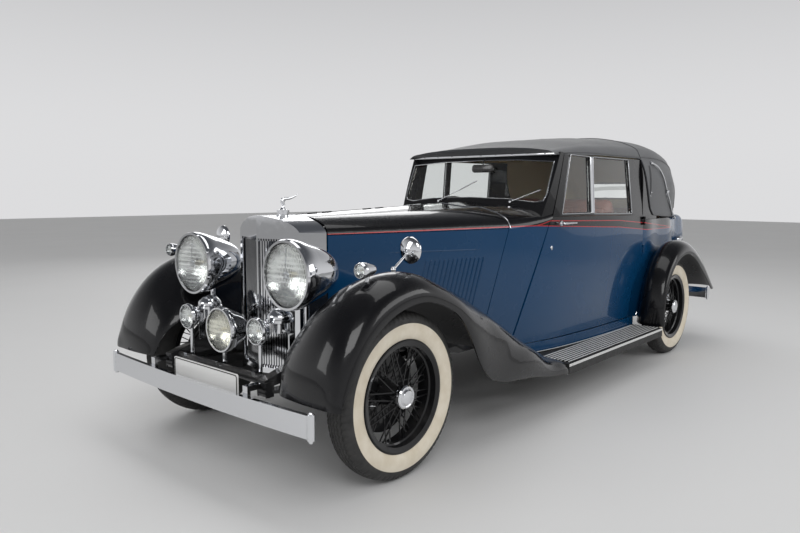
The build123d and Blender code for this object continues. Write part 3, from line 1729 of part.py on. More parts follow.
def wing_mirror(sign):
    """A round mirror with a domed back, facing the driver, on a slanting arm with a ball at its foot."""
    centre = Vector(behind(mirror_behind), sign * mirror_y, mirror_height)
    dome = [
        Spline((26, 0), (17, 0.62 * mirror_radius), (0, mirror_radius), tangents=[(0, 1), (-1, 0.4)]),
        Polyline((0, mirror_radius), (-5, mirror_radius), (-5, mirror_radius - 5), (-2, mirror_radius - 5)),
        Polyline((-2, mirror_radius - 5), (-2, 0), (26, 0)),
    ]
    shell = revolve(make_face(Curve() + dome), Axis((0, 0, 0), (1, 0, 0)))
    ball = Vector(behind(mirror_foot_behind), sign * mirror_y, side_lamp_height - 14)
    neck = centre + Vector(20, 0, -14)
    arm = rod(ball, neck, 5) + Pos(*ball) * Sphere(12) + Pos(*neck) * Sphere(9)
    foot = Pos(ball.X, ball.Y, ball.Z - 30) * Cylinder(7, 60)
    return Pos(*centre) * shell + arm + foot


def wing_fittings(left_wing):
    """A small lamp and a mirror standing on each front wing's crown."""
    pieces = []
    for sign in (1, -1):
        x = front_axle_x + side_lamp_ahead
        y = sign * side_lamp_y
        body = lamp(x, y, side_lamp_height, 32, 84)
        foot = Pos(x - 36, y, side_lamp_height - 50) * Cylinder(9, 60)
        wing = left_wing if sign == 1 else other_side(left_wing)
        pieces.append(standing_on(body + foot, wing))
        pieces.append(standing_on(wing_mirror(sign), wing))
    return pieces


tail_lamp_behind = 3884
tail_lamp_out = 16
tail_lamp_height = 850


def tail_lamps(body):
    """A small torpedo lamp with a domed lens on each side of the body's tail."""
    lamps = []
    for sign in (1, -1):
        y = sign * (half_width(tail_lamp_behind) + tail_lamp_out)
        place = Pos(behind(tail_lamp_behind), y, tail_lamp_height)
        profile = [
            Spline((-50, 0), (-46, 18), (-34, 27), tangents=[(0, 1), (1, 0.5)]),
            Polyline((-34, 27), (-34, 30), (-25, 30), (-25, 28)),
            Spline((-25, 28), (0, 25), (50, 10), tangents=[(1, 0), (1, -0.4)]),
            Polyline((50, 10), (50, 0), (-50, 0)),
        ]
        bowl = revolve(make_face(Curve() + profile), Axis((0, 0, 0), (1, 0, 0)))
        lamps.append(standing_on(place * bowl, body, (0, sign, 0)))
    return lamps


def lamp_lenses():
    """The clear fronts of all the lamps."""
    panes = []
    for sign in (1, -1):
        panes.append(lens(front_axle_x + headlamp_ahead, sign * headlamp_y, headlamp_height, lens_radius))
        panes.append(lens(lamp_bar_x, sign * small_lamp_y, 645, small_lamp_radius))
        panes.append(lens(front_axle_x + side_lamp_ahead, sign * side_lamp_y, side_lamp_height, 32))
    panes.append(lens(lamp_bar_x, 0, 615, fog_radius))
    return panes


def landau_iron_left(head, body):
    """The S-shaped iron on the head's left quarter, with its knuckle and its two feet."""
    points = [(3062, 1474), (3180, 1450), (3305, 1371), (3400, 1265), (3528, 1156), (3656, 1040)]
    stand_off = 12
    path_points = []
    for d, z in points:
        side = hood_side(d, z) if z > belt(d) else half_width(d)
        path_points.append((behind(d), side + stand_off, z))
    path = Spline(*path_points)
    start = path @ 0
    bar = sweep(Plane(origin=start, z_dir=path % 0) * Circle(6), path=path)
    knuckle = Pos(behind(3440), hood_side(3440, 1232) + stand_off, 1228) * Rot(90, 0, 0) * Cylinder(17, 14)
    iron = bar + knuckle
    for (x, y, z), depth in ((path_points[0], 30), (path_points[-1], 30)):
        iron += Pos(x, y - depth / 2 + 6, z) * Rot(90, 0, 0) * Cylinder(11, depth)
    return standing_on(standing_on(iron, head, (0, 1, 0)), body, (0, 1, 0))


# ---- Cabin ----
driver_y = -305
wheel_rim_radius = 203
column_angle = 38
steering_wheel_behind = 1880
steering_wheel_height = 1045


def column_plane():
    """The plane of the steering wheel, facing the driver."""
    a = radians(column_angle)
    return Plane(
        origin=(behind(steering_wheel_behind), driver_y, steering_wheel_height),
        x_dir=(0, 1, 0),
        z_dir=(-cos(a), 0, sin(a)),
    )


def steering_wheel():
    """A rim on four thin spokes round a boss."""
    plane = column_plane()
    rim = plane * Torus(wheel_rim_radius, 12)
    boss = plane * Pos(0, 0, -14) * Cylinder(34, 44)
    wheel = rim + boss
    for index in range(4):
        spoke = plane * Rot(0, 0, 45 + 90 * index) * Pos(wheel_rim_radius / 2, 0, -4) * Box(wheel_rim_radius, 12, 8)
        wheel += spoke
    return wheel


def steering_column():
    """The column from the wheel's boss down to the bulkhead."""
    plane = column_plane()
    a = radians(column_angle)
    reach = (steering_wheel_behind - 1262) / cos(a)
    start = plane.origin + plane.z_dir * (-36 - 2 * seat_gap)
    end = plane.origin + plane.z_dir * (-reach)
    bulkhead_face = across([(1250.3, 300), (1250.3, 1300), (2600, 1300), (2600, 300)], -900, 900)
    return rod(start, end - plane.z_dir * 40, 22) & bulkhead_face


dash_half_width = 504


def dashboard():
    """The facia board under the scuttle."""
    slab = across([(1528, 905), (1528, 1200), (1550, 1200), (1550, 905)], -dash_half_width, dash_half_width)
    return slab & crown(scuttle_stations, panel + seat_gap, sill_height)


def seat(side_y, half, points):
    """A soft seat: its side outline carried across and rounded at its edges."""
    block = across(points, side_y - half, side_y + half)
    return block


front_seat_outline = [
    (1990, floor_height + 8 + 0.6),
    (1968, 600),
    (1950, 740),
    (2000, 776),
    (2410, 742),
    (2560, 1196),
    (2610, 1222),
    (2660, 1186),
    (2520, 640),
    (2500, floor_height + 8 + 0.6),
]
rear_seat_outline = [
    (2925, rear_floor_height + 6.6),
    (2925, 760),
    (2970, 790),
    (3400, 760),
    (3500, 1120),
    (3550, 1140),
    (3596, 1100),
    (3596, rear_floor_height + 6.6),
]


def front_seats():
    """Two separate front seats."""
    return [seat(sign * 285, 232, front_seat_outline) for sign in (1, -1)]


def rear_seat():
    """A rear bench between the wheel arches."""
    return seat(0, 515, rear_seat_outline)


def placed_wheel(x, side):
    """A wire wheel at an axle, facing outwards on its side of the car."""
    wheel = Pos(x, wheel_y, 0) * wire_wheel_solid
    return wheel if side == 1 else other_side(wheel)


wire_wheel_solid = wire_wheel()


def main():
    """Write every sub-part."""
    os.makedirs("parts", exist_ok=True)
    for end, x in (("front", front_axle_x), ("rear", rear_axle_x)):
        for side, sign in (("left", 1), ("right", -1)):
            save(f"wheel_{end}_{side}", placed_wheel(x, sign))
            save(f"tyre_{end}_{side}", tyre(x, sign * wheel_y))
    frame = chassis_frame()
    front_wing = front_wing_left()
    rear_wing = rear_wing_left()
    door = door_left()
    head = hood()
    body = rear_body()
    save("bonnet_top_left", bonnet_top(left_knuckles))
    save("bonnet_top_right", other_side(bonnet_top(right_knuckles)))
    for name, left in (
        ("knuckle", knuckle_left()),
        ("door", door),
        ("bonnet_side", bonnet_side_left()),
        ("front_wing", front_wing),
        ("rear_wing", rear_wing),
        ("door_handle", door_handle_left(door)),
    ):
        save(f"{name}_left", left)
        save(f"{name}_right", other_side(left))
    panes = door_glass_left()
    save("door_glass_left", *panes)
    save("door_glass_right", *[other_side(pane) for pane in panes])
    save("track_rod", track_rod())
    save("front_axle", front_axle())
    save("rear_axle", rear_axle())
    front_spring = leaf_spring(
        0, frame_y, front_spring_seat, front_spring_ahead, front_spring_after, front_eye_height
    )
    rear_spring = leaf_spring(
        drawn_wheelbase, rear_spring_y, rear_spring_seat, rear_spring_ahead, rear_spring_after, rear_eye_height
    )
    save("leaf_springs", front_spring, other_side(front_spring), rear_spring, other_side(rear_spring))
    save("chassis_frame", frame)
    save("engine", engine())
    save("propeller_shaft", propeller_shaft())
    save("exhaust", exhaust())
    save("fuel_tank", fuel_tank())
    save("scuttle", scuttle())
    save("radiator_shell", radiator_shell())
    save("radiator_shutters", radiator_shutters())
    save("rear_body", body)
    save("boot_lid", boot_lid())
    save("hood", head)
    screen_frame = windscreen_frame()
    save("windscreen_frame", screen_frame)
    save("wipers", *wipers(screen_frame))
    save("tail_lamps", *tail_lamps(body))
    save("fixed_glass", *fixed_glass())
    save("floor", floor())
    board = running_board_left()
    save("running_boards", board, other_side(board))
    save("front_bumper", front_bumper())
    save("rear_bumper", rear_bumper())
    save("number_plate", number_plate())
    save("headlamps", *headlamps(frame))
    save("auxiliary_lamps", *auxiliary_lamps(frame))
    save("horns", *horns(frame))
    save("wing_lamps", *wing_fittings(front_wing))
    save("lamp_lenses", *lamp_lenses())
    iron = landau_iron_left(head, body)
    save("landau_irons", iron, other_side(iron))
    save("steering_wheel", steering_wheel())
    save("steering_column", steering_column())
    save("dashboard", dashboard())
    save("front_seats", *front_seats())
    save("rear_seat", rear_seat())


main()
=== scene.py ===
"""Looks of a two-door drophead coupe: its paint, plating, tyres, head cloth, hide and fittings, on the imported
model's bodies."""

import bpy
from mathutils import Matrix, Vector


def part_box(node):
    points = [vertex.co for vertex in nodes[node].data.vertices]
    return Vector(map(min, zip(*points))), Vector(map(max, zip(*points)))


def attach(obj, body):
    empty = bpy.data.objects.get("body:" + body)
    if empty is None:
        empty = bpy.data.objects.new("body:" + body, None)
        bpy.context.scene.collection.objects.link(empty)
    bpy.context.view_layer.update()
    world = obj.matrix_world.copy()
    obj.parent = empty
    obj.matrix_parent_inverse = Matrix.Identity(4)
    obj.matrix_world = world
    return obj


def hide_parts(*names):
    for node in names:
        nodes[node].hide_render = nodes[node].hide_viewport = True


bl_info = {
    "name": "Drophead coupe",
    "version": (1, 0, 0),
    "blender": (4, 5, 0),
    "location": "3D View > Sidebar > Coupe",
    "description": "Builds the finishes and the fittings of a two-door drophead coupe",
    "category": "Object",
}

from math import cos, pi, radians, sin

import bmesh
import bpy
import numpy as np
from mathutils import Matrix, Vector
from mathutils.bvhtree import BVHTree

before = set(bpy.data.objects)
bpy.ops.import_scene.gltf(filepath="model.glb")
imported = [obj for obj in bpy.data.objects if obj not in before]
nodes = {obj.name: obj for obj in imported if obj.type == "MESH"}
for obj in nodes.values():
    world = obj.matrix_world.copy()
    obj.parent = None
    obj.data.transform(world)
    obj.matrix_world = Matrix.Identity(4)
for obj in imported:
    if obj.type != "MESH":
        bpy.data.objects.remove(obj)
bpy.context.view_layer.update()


def middle(node):
    """The middle of a CAD node's box."""
    low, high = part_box(node)
    return (low + high) / 2


front_axle_x = middle("tyre_front_left").x * 1000
rear_axle_x = middle("tyre_rear_left").x * 1000
wheel_y = middle("tyre_front_left").y * 1000
tyre_radius = middle("tyre_front_left").z * 1000
axles = (("front", front_axle_x), ("rear", rear_axle_x))
sides = ((1, "left"), (-1, "right"))
weld = 1e-6

# Half width of the body by distance behind the front axle.
body_plan = [
    (46, 232), (650, 375), (1226, 504), (1600, 588), (2100, 632), (2600, 642), (3000, 634), (3400, 607),
    (3560, 594), (3700, 558), (3820, 530), (3950, 522), (4070, 514), (4140, 490), (4190, 430),
]
# The head: distance behind, half width at the belt, cant height, cant half width and crown height.
belt_half, cant_height, cant_half, crown = 1, 2, 3, 4
head_sections = [
    (1612, 584, 1470, 584, 1530), (2000, 614, 1490, 592, 1600), (2422, 630, 1492, 594, 1642),
    (2835, 628, 1496, 586, 1666), (3200, 612, 1498, 572, 1674), (3480, 584, 1476, 548, 1640),
    (3680, 552, 1425, 522, 1568), (3820, 508, 1340, 484, 1456), (3905, 462, 1235, 438, 1320),
    (3950, 416, 1120, 388, 1162),
]
belt_line = [(1400, 1096), (1800, 1114), (2774, 1098), (3400, 1062), (3950, 1052)]


# ---- Shapes ----
def place(distance, y, height):
    """Points in metres from a distance behind the front axle, an offset to the left and a height in millimetres."""
    distance, y, height = np.broadcast_arrays(np.asarray(distance, float), y, height)
    return np.stack([front_axle_x - distance, y, height], -1) / 1000


def through(stations, distance, column=1):
    """A straight-line reading between stations, at each distance."""
    table = np.asarray(stations, float)
    return np.interp(distance, table[:, 0], table[:, column])


def eased(stations, at, column=1):
    """A smooth reading between stations: a cubic in each interval, with slopes from the neighbours on both sides."""
    table = np.asarray(stations, float)
    x, v = table[:, 0], table[:, column]
    slope = np.gradient(v, x)
    at = np.clip(at, x[0], x[-1])
    i = np.clip(np.searchsorted(x, at) - 1, 0, len(x) - 2)
    h = x[i + 1] - x[i]
    t = (at - x[i]) / h
    a, b = (1 + 2 * t) * (1 - t) ** 2, t * t * (3 - 2 * t)
    return a * v[i] + b * v[i + 1] + h * (t * (1 - t) ** 2 * slope[i] - t * t * (1 - t) * slope[i + 1])


def run_length(points):
    """How far along a line of points each one lies."""
    return np.concatenate([[0], np.cumsum(np.linalg.norm(np.diff(points, axis=0), axis=1))])


def smooth_line(points, count):
    """A smooth line through points, read evenly along its length: each coordinate is eased over the chord length."""
    points = np.asarray(points, float)
    chord = run_length(points)
    at = np.linspace(0, chord[-1], count)
    return np.stack([eased(np.stack([chord, points[:, k]], 1), at) for k in range(points.shape[1])], 1)


def grid(points, wrap_rows=False, wrap_columns=False):
    """Quads between the neighbours in a grid of points, joined round in a direction that wraps."""
    rows, columns = points.shape[:2]
    index = np.arange(rows * columns).reshape(rows, columns)
    if wrap_rows:
        index = np.concatenate([index, index[:1]], 0)
    if wrap_columns:
        index = np.concatenate([index, index[:, :1]], 1)
    quads = np.stack([index[:-1, :-1], index[1:, :-1], index[1:, 1:], index[:-1, 1:]], -1)
    return points.reshape(-1, 3), quads.reshape(-1, 4).tolist()


def closed_rings(points):
    """A row of closed rings joined into a tube, with a face over each end."""
    rows, columns = points.shape[:2]
    vertices, faces = grid(points, wrap_columns=True)
    last = (rows - 1) * columns
    return vertices, faces + [list(range(columns))[::-1], list(range(last, last + columns))]


def circle(radius, count, squash=1.0):
    """A round profile: radius times the cosine and sine of the angle, the second one squashed."""
    angle = np.linspace(0, 2 * pi, count, endpoint=False)
    return np.stack([radius * np.cos(angle), squash * radius * np.sin(angle)], 1)


def oblong(width, height, radius=0.0, steps=3):
    """A rectangle with rounded corners: a quarter circle about each corner's centre."""
    angle = np.linspace(0, pi / 2, steps)
    corners = [(1, 1, 0), (-1, 1, 1), (-1, -1, 2), (1, -1, 3)]
    rings = [
        np.stack(
            [
                sx * (width / 2 - radius) + radius * np.cos(angle + quarter * pi / 2),
                sy * (height / 2 - radius) + radius * np.sin(angle + quarter * pi / 2),
            ],
            1,
        )
        for sx, sy, quarter in corners
    ]
    return np.concatenate(rings)


def carried(path, profile, up=(0, 0, 1), closed=False, swell=None):
    """A profile carried along a path: each point is the path plus the profile's first number along the side
    direction, tangent x up, and its second number along the direction square to both, times the swell there."""
    path, profile = np.asarray(path, float), np.asarray(profile, float)
    tangent = np.roll(path, -1, 0) - np.roll(path, 1, 0) if closed else np.gradient(path, axis=0)
    tangent /= np.linalg.norm(tangent, axis=1)[:, None]
    side = np.cross(tangent, np.broadcast_to(np.asarray(up, float), path.shape))
    side /= np.linalg.norm(side, axis=1)[:, None]
    over = np.cross(side, tangent)
    size = np.ones(len(path)) if swell is None else np.asarray(swell, float)
    across = profile[None, :, 0, None] * side[:, None] + profile[None, :, 1, None] * over[:, None]
    rings = path[:, None] + size[:, None, None] * across
    return grid(rings, wrap_rows=True, wrap_columns=True) if closed else closed_rings(rings)


def turned(outline, centre, axis, count=48, whole=True):
    """A profile of (distance along the axis, radius) turned about the axis through the centre. A whole one is a
    closed profile; another runs from the axis to the axis, and its two ends are single points."""
    outline = np.asarray(outline, float)
    axis = np.asarray(axis, float) / np.linalg.norm(axis)
    first = np.cross(axis, (0, 0, 1) if abs(axis[2]) < 0.9 else (1, 0, 0))
    first /= np.linalg.norm(first)
    second = np.cross(axis, first)
    angle = np.linspace(0, 2 * pi, count, endpoint=False)
    spoke = np.cos(angle)[:, None] * first + np.sin(angle)[:, None] * second
    rings = np.asarray(centre, float) + outline[None, :, 0, None] * axis + outline[None, :, 1, None] * spoke[:, None]
    return grid(rings, wrap_rows=True, wrap_columns=whole)


def spun(profile, centre, axis, count):
    """A solid turned from a profile in millimetres that starts and ends on the axis."""
    return turned(np.asarray(profile, float) / 1000, centre, axis, count, whole=False)


def make(name, parts, body, finish, slot=None, replaces=(), sharp=38, merge=0.0, solid=True):
    """One piece from several grids, in metres, with outward faces, riding on a body."""
    vertices, faces, start = [], [], 0
    for points, polygons in parts:
        vertices.append(points)
        faces += [[start + k for k in polygon] for polygon in polygons]
        start += len(points)
    mesh = bpy.data.meshes.new(name)
    mesh.from_pydata(np.concatenate(vertices).tolist(), [], faces)
    if solid or merge:
        sheet = bmesh.new()
        sheet.from_mesh(mesh)
        if merge:
            bmesh.ops.remove_doubles(sheet, verts=sheet.verts, dist=merge)
        bmesh.ops.recalc_face_normals(sheet, faces=sheet.faces)
        sheet.to_mesh(mesh)
        sheet.free()
    mesh.polygons.foreach_set("use_smooth", np.ones(len(mesh.polygons), bool))
    mesh.set_sharp_from_angle(angle=radians(sharp))
    mesh.materials.append(finishes[finish])
    piece = bpy.data.objects.new(name, mesh)
    bpy.context.scene.collection.objects.link(piece)
    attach(piece, body)
    if replaces:
        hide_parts(*replaces)
    return piece


def plated(name, parts, body="root", **shape):
    """A chromium-plated piece."""
    return make(name, parts, body, "chrome", "chrome", **shape)


def half_width(distance):
    """The body's half width, smooth along the plan."""
    return eased(body_plan, distance)


def head_ring(distance, proud=0.0, count=24):
    """The head's half section from the belt to the crown, as (y, z) points, pushed out square to itself."""
    low, cant_z, side, top = (eased(head_sections, distance, k) for k in (belt_half, cant_height, cant_half, crown))
    belt = eased(belt_line, distance)
    rise = top - cant_z
    corner = [
        (low, belt), (side, cant_z), (0.94 * side, cant_z + 0.4 * rise), (0.82 * side, cant_z + 0.62 * rise),
        (0.45 * side, cant_z + 0.93 * rise), (0, top),
    ]
    ring = smooth_line(corner, count)
    along = np.gradient(ring, axis=0)
    along /= np.linalg.norm(along, axis=1)[:, None]
    return ring + proud * np.stack([along[:, 1], -along[:, 0]], 1)


# ---- Finishes ----
finishes = {}
plating = (0.72, 0.73, 0.75)
polished = (0.75, 0.75, 0.74)
dust_colour = (0.2, 0.19, 0.18)
# In metres: the shutters' spacing, how far ahead the first stripe of painted shade starts and half the middle bar's
# width; and the heights where the strips' polished crests (with painted shade down their sides) and the floor's carpet
# start. The tail lamps' lenses start at a distance behind.
shutter_pitch, shutter_start, shutter_bar = 0.0134, 0.0046, 0.0055
tail_lens_front = 3918.3
strip_crest = 0.2789
carpet_foot = 0.446


def feed(tree, target, value):
    """Gives an input its value: another node's output is linked, and a number or a colour is set."""
    if isinstance(value, bpy.types.NodeSocket):
        tree.links.new(value, target)
    else:
        target.default_value = value


def node(tree, kind, inputs=None, **given):
    """A shader node with its settings and its inputs."""
    made = tree.nodes.new("ShaderNode" + kind)
    for key, value in given.items():
        setattr(made, key, value)
    for key, value in (inputs or {}).items():
        feed(tree, made.inputs[key], value)
    return made


def maths(tree, operation, *values):
    """The result of one operation on a value or on two."""
    return node(tree, "Math", dict(enumerate(values)), operation=operation).outputs[0]


def spread(tree, value, low=0.0, high=1.0, start=0.0, end=1.0, **given):
    """A value's way from low to high, stretched to run from start to end."""
    return node(tree, "MapRange", {"Value": value, 1: low, 2: high, 3: start, 4: end}, **given).outputs[0]


def axes(tree, vector):
    """The three numbers of a vector."""
    return node(tree, "SeparateXYZ", {0: vector}).outputs


def noise(tree, coords, scale, detail, **inputs):
    """Soft noise at a scale."""
    return node(tree, "TexNoise", {"Vector": coords, "Scale": scale, "Detail": detail, **inputs}).outputs[0]


def group(name, inputs, outputs):
    """An empty node group with its sockets; an input without a default is a vector. Gives the tree, its inputs and a
    function that links an output."""
    tree = bpy.data.node_groups.new(name, "ShaderNodeTree")
    for socket, default in inputs.items():
        kind = "NodeSocketVector" if default is None else "NodeSocketFloat"
        made = tree.interface.new_socket(name=socket, in_out="INPUT", socket_type=kind)
        if default is not None:
            made.default_value = default
    for socket in outputs:
        tree.interface.new_socket(name=socket, in_out="OUTPUT", socket_type="NodeSocketFloat")
    entry, leave = tree.nodes.new("NodeGroupInput"), tree.nodes.new("NodeGroupOutput")
    return tree, entry.outputs, lambda socket, value: tree.links.new(value, leave.inputs[socket])


def mottle_group():
    """Mottle: soft noise at a scale, stretched to run from a low value to a high one."""
    tree, given, give = group("Mottle", {"Vector": None, "Scale": 6.0, "Low": 0.2, "High": 0.3}, ["Value"])
    soft = noise(tree, given["Vector"], given["Scale"], 4.0)
    give("Value", spread(tree, soft, 0.3, 0.7, given["Low"], given["High"]))


def grain_group():
    """Grain: cells of a scale, softened by finer noise, as a height."""
    tree, given, give = group("Grain", {"Vector": None, "Scale": 600.0, "Creases": 0.4}, ["Height"])
    cells = node(tree, "TexVoronoi", {"Vector": given["Vector"], "Scale": given["Scale"]}, feature="SMOOTH_F1")
    deep = maths(tree, "MULTIPLY", noise(tree, given["Vector"], 38.0, 6.0), given["Creases"])
    give("Height", maths(tree, "ADD", cells.outputs["Distance"], deep))


def weave_group():
    """Weave: crossed threads, the product of two sines, roughened by noise, as a height; and the noise by itself."""
    tree, given, give = group("Weave", {"Vector": None, "Threads": 900.0}, ["Height", "Slub"])
    scaled = node(tree, "VectorMath", {0: given["Vector"], "Scale": given["Threads"]}, operation="SCALE")
    parts = axes(tree, scaled.outputs[0])
    both = maths(tree, "MULTIPLY", maths(tree, "SINE", parts[0]), maths(tree, "SINE", parts[1]))
    slub = noise(tree, given["Vector"], 140.0, 5.0)
    give("Height", maths(tree, "ADD", both, slub))
    give("Slub", slub)


def dust_group():
    """Dust: a mask that is strongest on faces that look up, broken up by noise."""
    tree, given, give = group("Dust", {"Vector": None, "Amount": 0.2}, ["Mask"])
    facing = spread(tree, axes(tree, node(tree, "NewGeometry").outputs["Normal"])[2], 0.1, 1.0)
    patch = spread(tree, noise(tree, given["Vector"], 9.0, 8.0), 0.42, 0.7)
    give("Mask", maths(tree, "MULTIPLY", maths(tree, "MULTIPLY", facing, patch), given["Amount"]))


# The two coachlines, as distance behind the front axle and height, and the field that they are drawn in.
upper_line = [
    (-200, 1041), (46, 1041), (1446, 1048), (1500, 1058), (1560, 1074), (2436, 1054), (2922, 1022), (3560, 970),
]
lower_line = [(-200, 1041), (46, 1041), (1446, 1047), (2440, 1008), (2928, 972), (3560, 964)]
line_start, line_end = -200, 3560
line_low, line_high = 900, 1200


def coachline_group():
    """Coachlines: the height of each painted line is a curve of the distance along the car. The line mask is 1 within
    half a line's width of one of them, and the waist mask is 1 above the lower one and ahead of the tail."""
    tree, given, give = group("Coachlines", {"Vector": None, "Half width": 0.0022}, ["Line", "Waist"])
    parts = axes(tree, given["Vector"])
    start, end = (front_axle_x - line_start) / 1000, (front_axle_x - line_end) / 1000
    along = spread(tree, parts[0], start, end)
    on_side = maths(tree, "GREATER_THAN", maths(tree, "ABSOLUTE", parts[1]), 0.2)
    ahead = maths(tree, "GREATER_THAN", parts[0], end)
    lines = []
    for stations in (upper_line, lower_line):
        curve = node(tree, "FloatCurve", {"Value": along})
        line = curve.mapping.curves[0]
        span = (np.array(stations) - [line_start, line_low]) / [line_end - line_start, line_high - line_low]
        line.points[0].location, line.points[1].location = span[0], span[-1]
        for point in span[1:-1]:
            line.points.new(*point)
        for point in line.points:
            point.handle_type = "VECTOR"
        curve.mapping.update()
        height = spread(tree, curve.outputs[0], start=line_low / 1000, end=line_high / 1000)
        above = maths(tree, "SUBTRACT", parts[2], height)
        near = maths(tree, "LESS_THAN", maths(tree, "ABSOLUTE", above), given["Half width"])
        lines.append((near, above))
    (upper_near, _), (lower_near, lower_above) = lines
    either = maths(tree, "MAXIMUM", upper_near, lower_near)
    give("Line", maths(tree, "MULTIPLY", maths(tree, "MULTIPLY", either, ahead), on_side))
    give("Waist", maths(tree, "MULTIPLY", maths(tree, "GREATER_THAN", lower_above, 0.0), ahead))


def new_finish(name, colour, roughness, **sockets):
    """A material with its constants on the shader's own sockets. Gives its tree, shader and Object coordinates."""
    made = bpy.data.materials.new(name)
    made.use_nodes = True
    tree = made.node_tree
    shader = tree.nodes["Principled BSDF"]
    shader.inputs["Base Color"].default_value = (*colour, 1)
    shader.inputs["Roughness"].default_value = roughness
    for key, value in sockets.items():
        shader.inputs[key.replace("_", " ")].default_value = value
    finishes[name] = made
    return tree, shader, node(tree, "TexCoord").outputs["Object"]


def placed(tree, name, coords, **inputs):
    """The outputs of a node group in a material, with its own values."""
    made = tree.nodes.new("ShaderNodeGroup")
    made.node_tree = bpy.data.node_groups[name]
    for key, value in {"Vector": coords, **inputs}.items():
        feed(tree, made.inputs[key.replace("_", " ")], value)
    return made.outputs


def mottled(tree, coords, scale, low, high):
    """A value that wanders between two others at a scale."""
    return placed(tree, "Mottle", coords, Scale=scale, Low=low, High=high)[0]


def bumped(tree, shader, height, strength, distance):
    """A height turned into the shader's normal."""
    bump = node(tree, "Bump", {"Height": height, "Strength": strength, "Distance": distance})
    tree.links.new(bump.outputs[0], shader.inputs["Normal"])


def blended(tree, mask, first, second):
    """One colour where the mask is 0 and another where it is 1."""
    mix = node(tree, "Mix", {0: mask}, data_type="RGBA")
    for index, value in ((6, first), (7, second)):
        feed(tree, mix.inputs[index], value if isinstance(value, bpy.types.NodeSocket) else (*value, 1))
    return mix.outputs[2]


def coloured(tree, shader, mask, first, second):
    """Gives the shader one colour where the mask is 0 and another where it is 1."""
    tree.links.new(blended(tree, mask, first, second), shader.inputs["Base Color"])


def worn(name, colour, roughness, scale, low, high, **sockets):
    """A material whose roughness wanders between two values at a scale."""
    tree, shader, coords = new_finish(name, colour, roughness, **sockets)
    tree.links.new(mottled(tree, coords, scale, low, high), shader.inputs["Roughness"])
    return tree, shader, coords


def paint(name, colour, dust=0.015, low=0.2, high=0.3):
    """Gloss coachwork paint under a clear coat, with a faint uneven flow and a little dust on top."""
    coat = {"Coat_Weight": 1.0, "Coat_Roughness": 0.02, "Coat_IOR": 1.32}
    tree, shader, coords = worn(name, colour, 0.25, 5.0, low, high, Specular_IOR_Level=0.15, **coat)
    coloured(tree, shader, placed(tree, "Dust", coords, Amount=dust)[0], colour, dust_colour)
    bumped(tree, shader, noise(tree, coords, 220.0, 2.0), 0.02, 0.0004)
    return tree, shader, coords


def metal(name, colour, low, high, scale=40.0):
    """Bare or plated metal: roughness wanders between two values over fine scratches."""
    tree, shader, coords = worn(name, colour, low, scale, low, high, Metallic=1.0)
    bumped(tree, shader, noise(tree, coords, scale * 12, 6.0), 0.03, 0.0005)
    return tree, shader, coords


def make_finishes(look):
    """Every material of the car, by its finish."""
    for build in (mottle_group, grain_group, weave_group, dust_group, coachline_group):
        build()
    paint("black_paint", tuple(look.black))
    coachwork_finish(look)
    paint("wheel_enamel", (0.008, 0.008, 0.009), 0.15, 0.25, 0.4)
    paint("chassis_paint", (0.014, 0.014, 0.015), 0.5, 0.45, 0.7)
    paint("plate_white", (0.82, 0.82, 0.81), 0.03)
    metal("chrome", plating, 0.03, 0.09)
    metal("reflector", (0.9, 0.9, 0.88), 0.06, 0.14, scale=20)
    glass("clear_glass", (0.97, 0.99, 0.98))
    cloth_finish("head_cloth", (0.045, 0.048, 0.055), 1500.0, 0.12, 0.75, mapped=True)
    cloth_finish("lining_cloth", (0.8, 0.66, 0.44), 1200.0, 0.1, 0.85, mapped=True)
    cloth_finish("board_cloth", (0.5, 0.39, 0.25), 2400.0, 0.1, 0.85)
    cloth_finish("welt_cloth", (0.03, 0.032, 0.038), 2600.0, 0.12, 0.8)
    hide("hide", (0.21, 0.065, 0.036))
    hide("dark_hide", (0.03, 0.028, 0.027))
    for build in (
        shutter_finish, tail_lamp_finish, board_finish, strip_finish, iron_finish, lamp_glass_finish, floor_finish,
        wood_finish, rubber_finish,
    ):
        build()
    worn("moulding", (0.015, 0.014, 0.014), 0.2, 30.0, 0.16, 0.34, Coat_Weight=0.5)
    worn("dial_face", (0.02, 0.02, 0.02), 0.5, 90.0, 0.4, 0.6)
    worn("ivory", (0.7, 0.66, 0.55), 0.4, 50.0, 0.3, 0.5)


def coachwork_finish(look):
    """The body's paint: blue below the lower coachline and black above it, with both lines over the two."""
    blue = tuple(look.blue)
    tree, shader, coords = paint("coachwork", blue)
    lines = placed(tree, "Coachlines", coords, Half_width=look.line_width / 2)
    two = blended(tree, lines["Waist"], blue, tuple(look.black))
    dusty = blended(tree, placed(tree, "Dust", coords, Amount=0.015)[0], two, dust_colour)
    coloured(tree, shader, lines["Line"], dusty, tuple(look.line))


def shutter_finish():
    """Plated shutters, with a painted highlight on each one's front edge and painted shade that falls off from there
    into the dark between two.
    """
    tree, shader, coords = metal("shutter_bars", plating, 0.05, 0.12)
    off = maths(tree, "ABSOLUTE", axes(tree, coords)[1])
    turns = maths(tree, "DIVIDE", maths(tree, "ADD", off, shutter_start), shutter_pitch)
    # Painted shade: each shutter's colour falls from a painted highlight at its front edge to painted shade in the gap
    # behind it.
    back = spread(tree, maths(tree, "FRACT", turns), 0.22, 0.5, interpolation_type="SMOOTHSTEP")
    painted_shade = maths(tree, "MULTIPLY", back, maths(tree, "GREATER_THAN", off, shutter_bar))
    coloured(tree, shader, painted_shade, (0.78, 0.79, 0.81), (0.025, 0.025, 0.028))


def tail_lamp_finish():
    """Plated lamps, with red glass behind their rims."""
    tree, shader, coords = metal("tail_lamp", plating, 0.04, 0.1)
    lens = maths(tree, "LESS_THAN", axes(tree, coords)[0], (front_axle_x - tail_lens_front) / 1000)
    coloured(tree, shader, lens, plating, (0.4, 0.006, 0.008))
    tree.links.new(maths(tree, "SUBTRACT", 1.0, lens), shader.inputs["Metallic"])


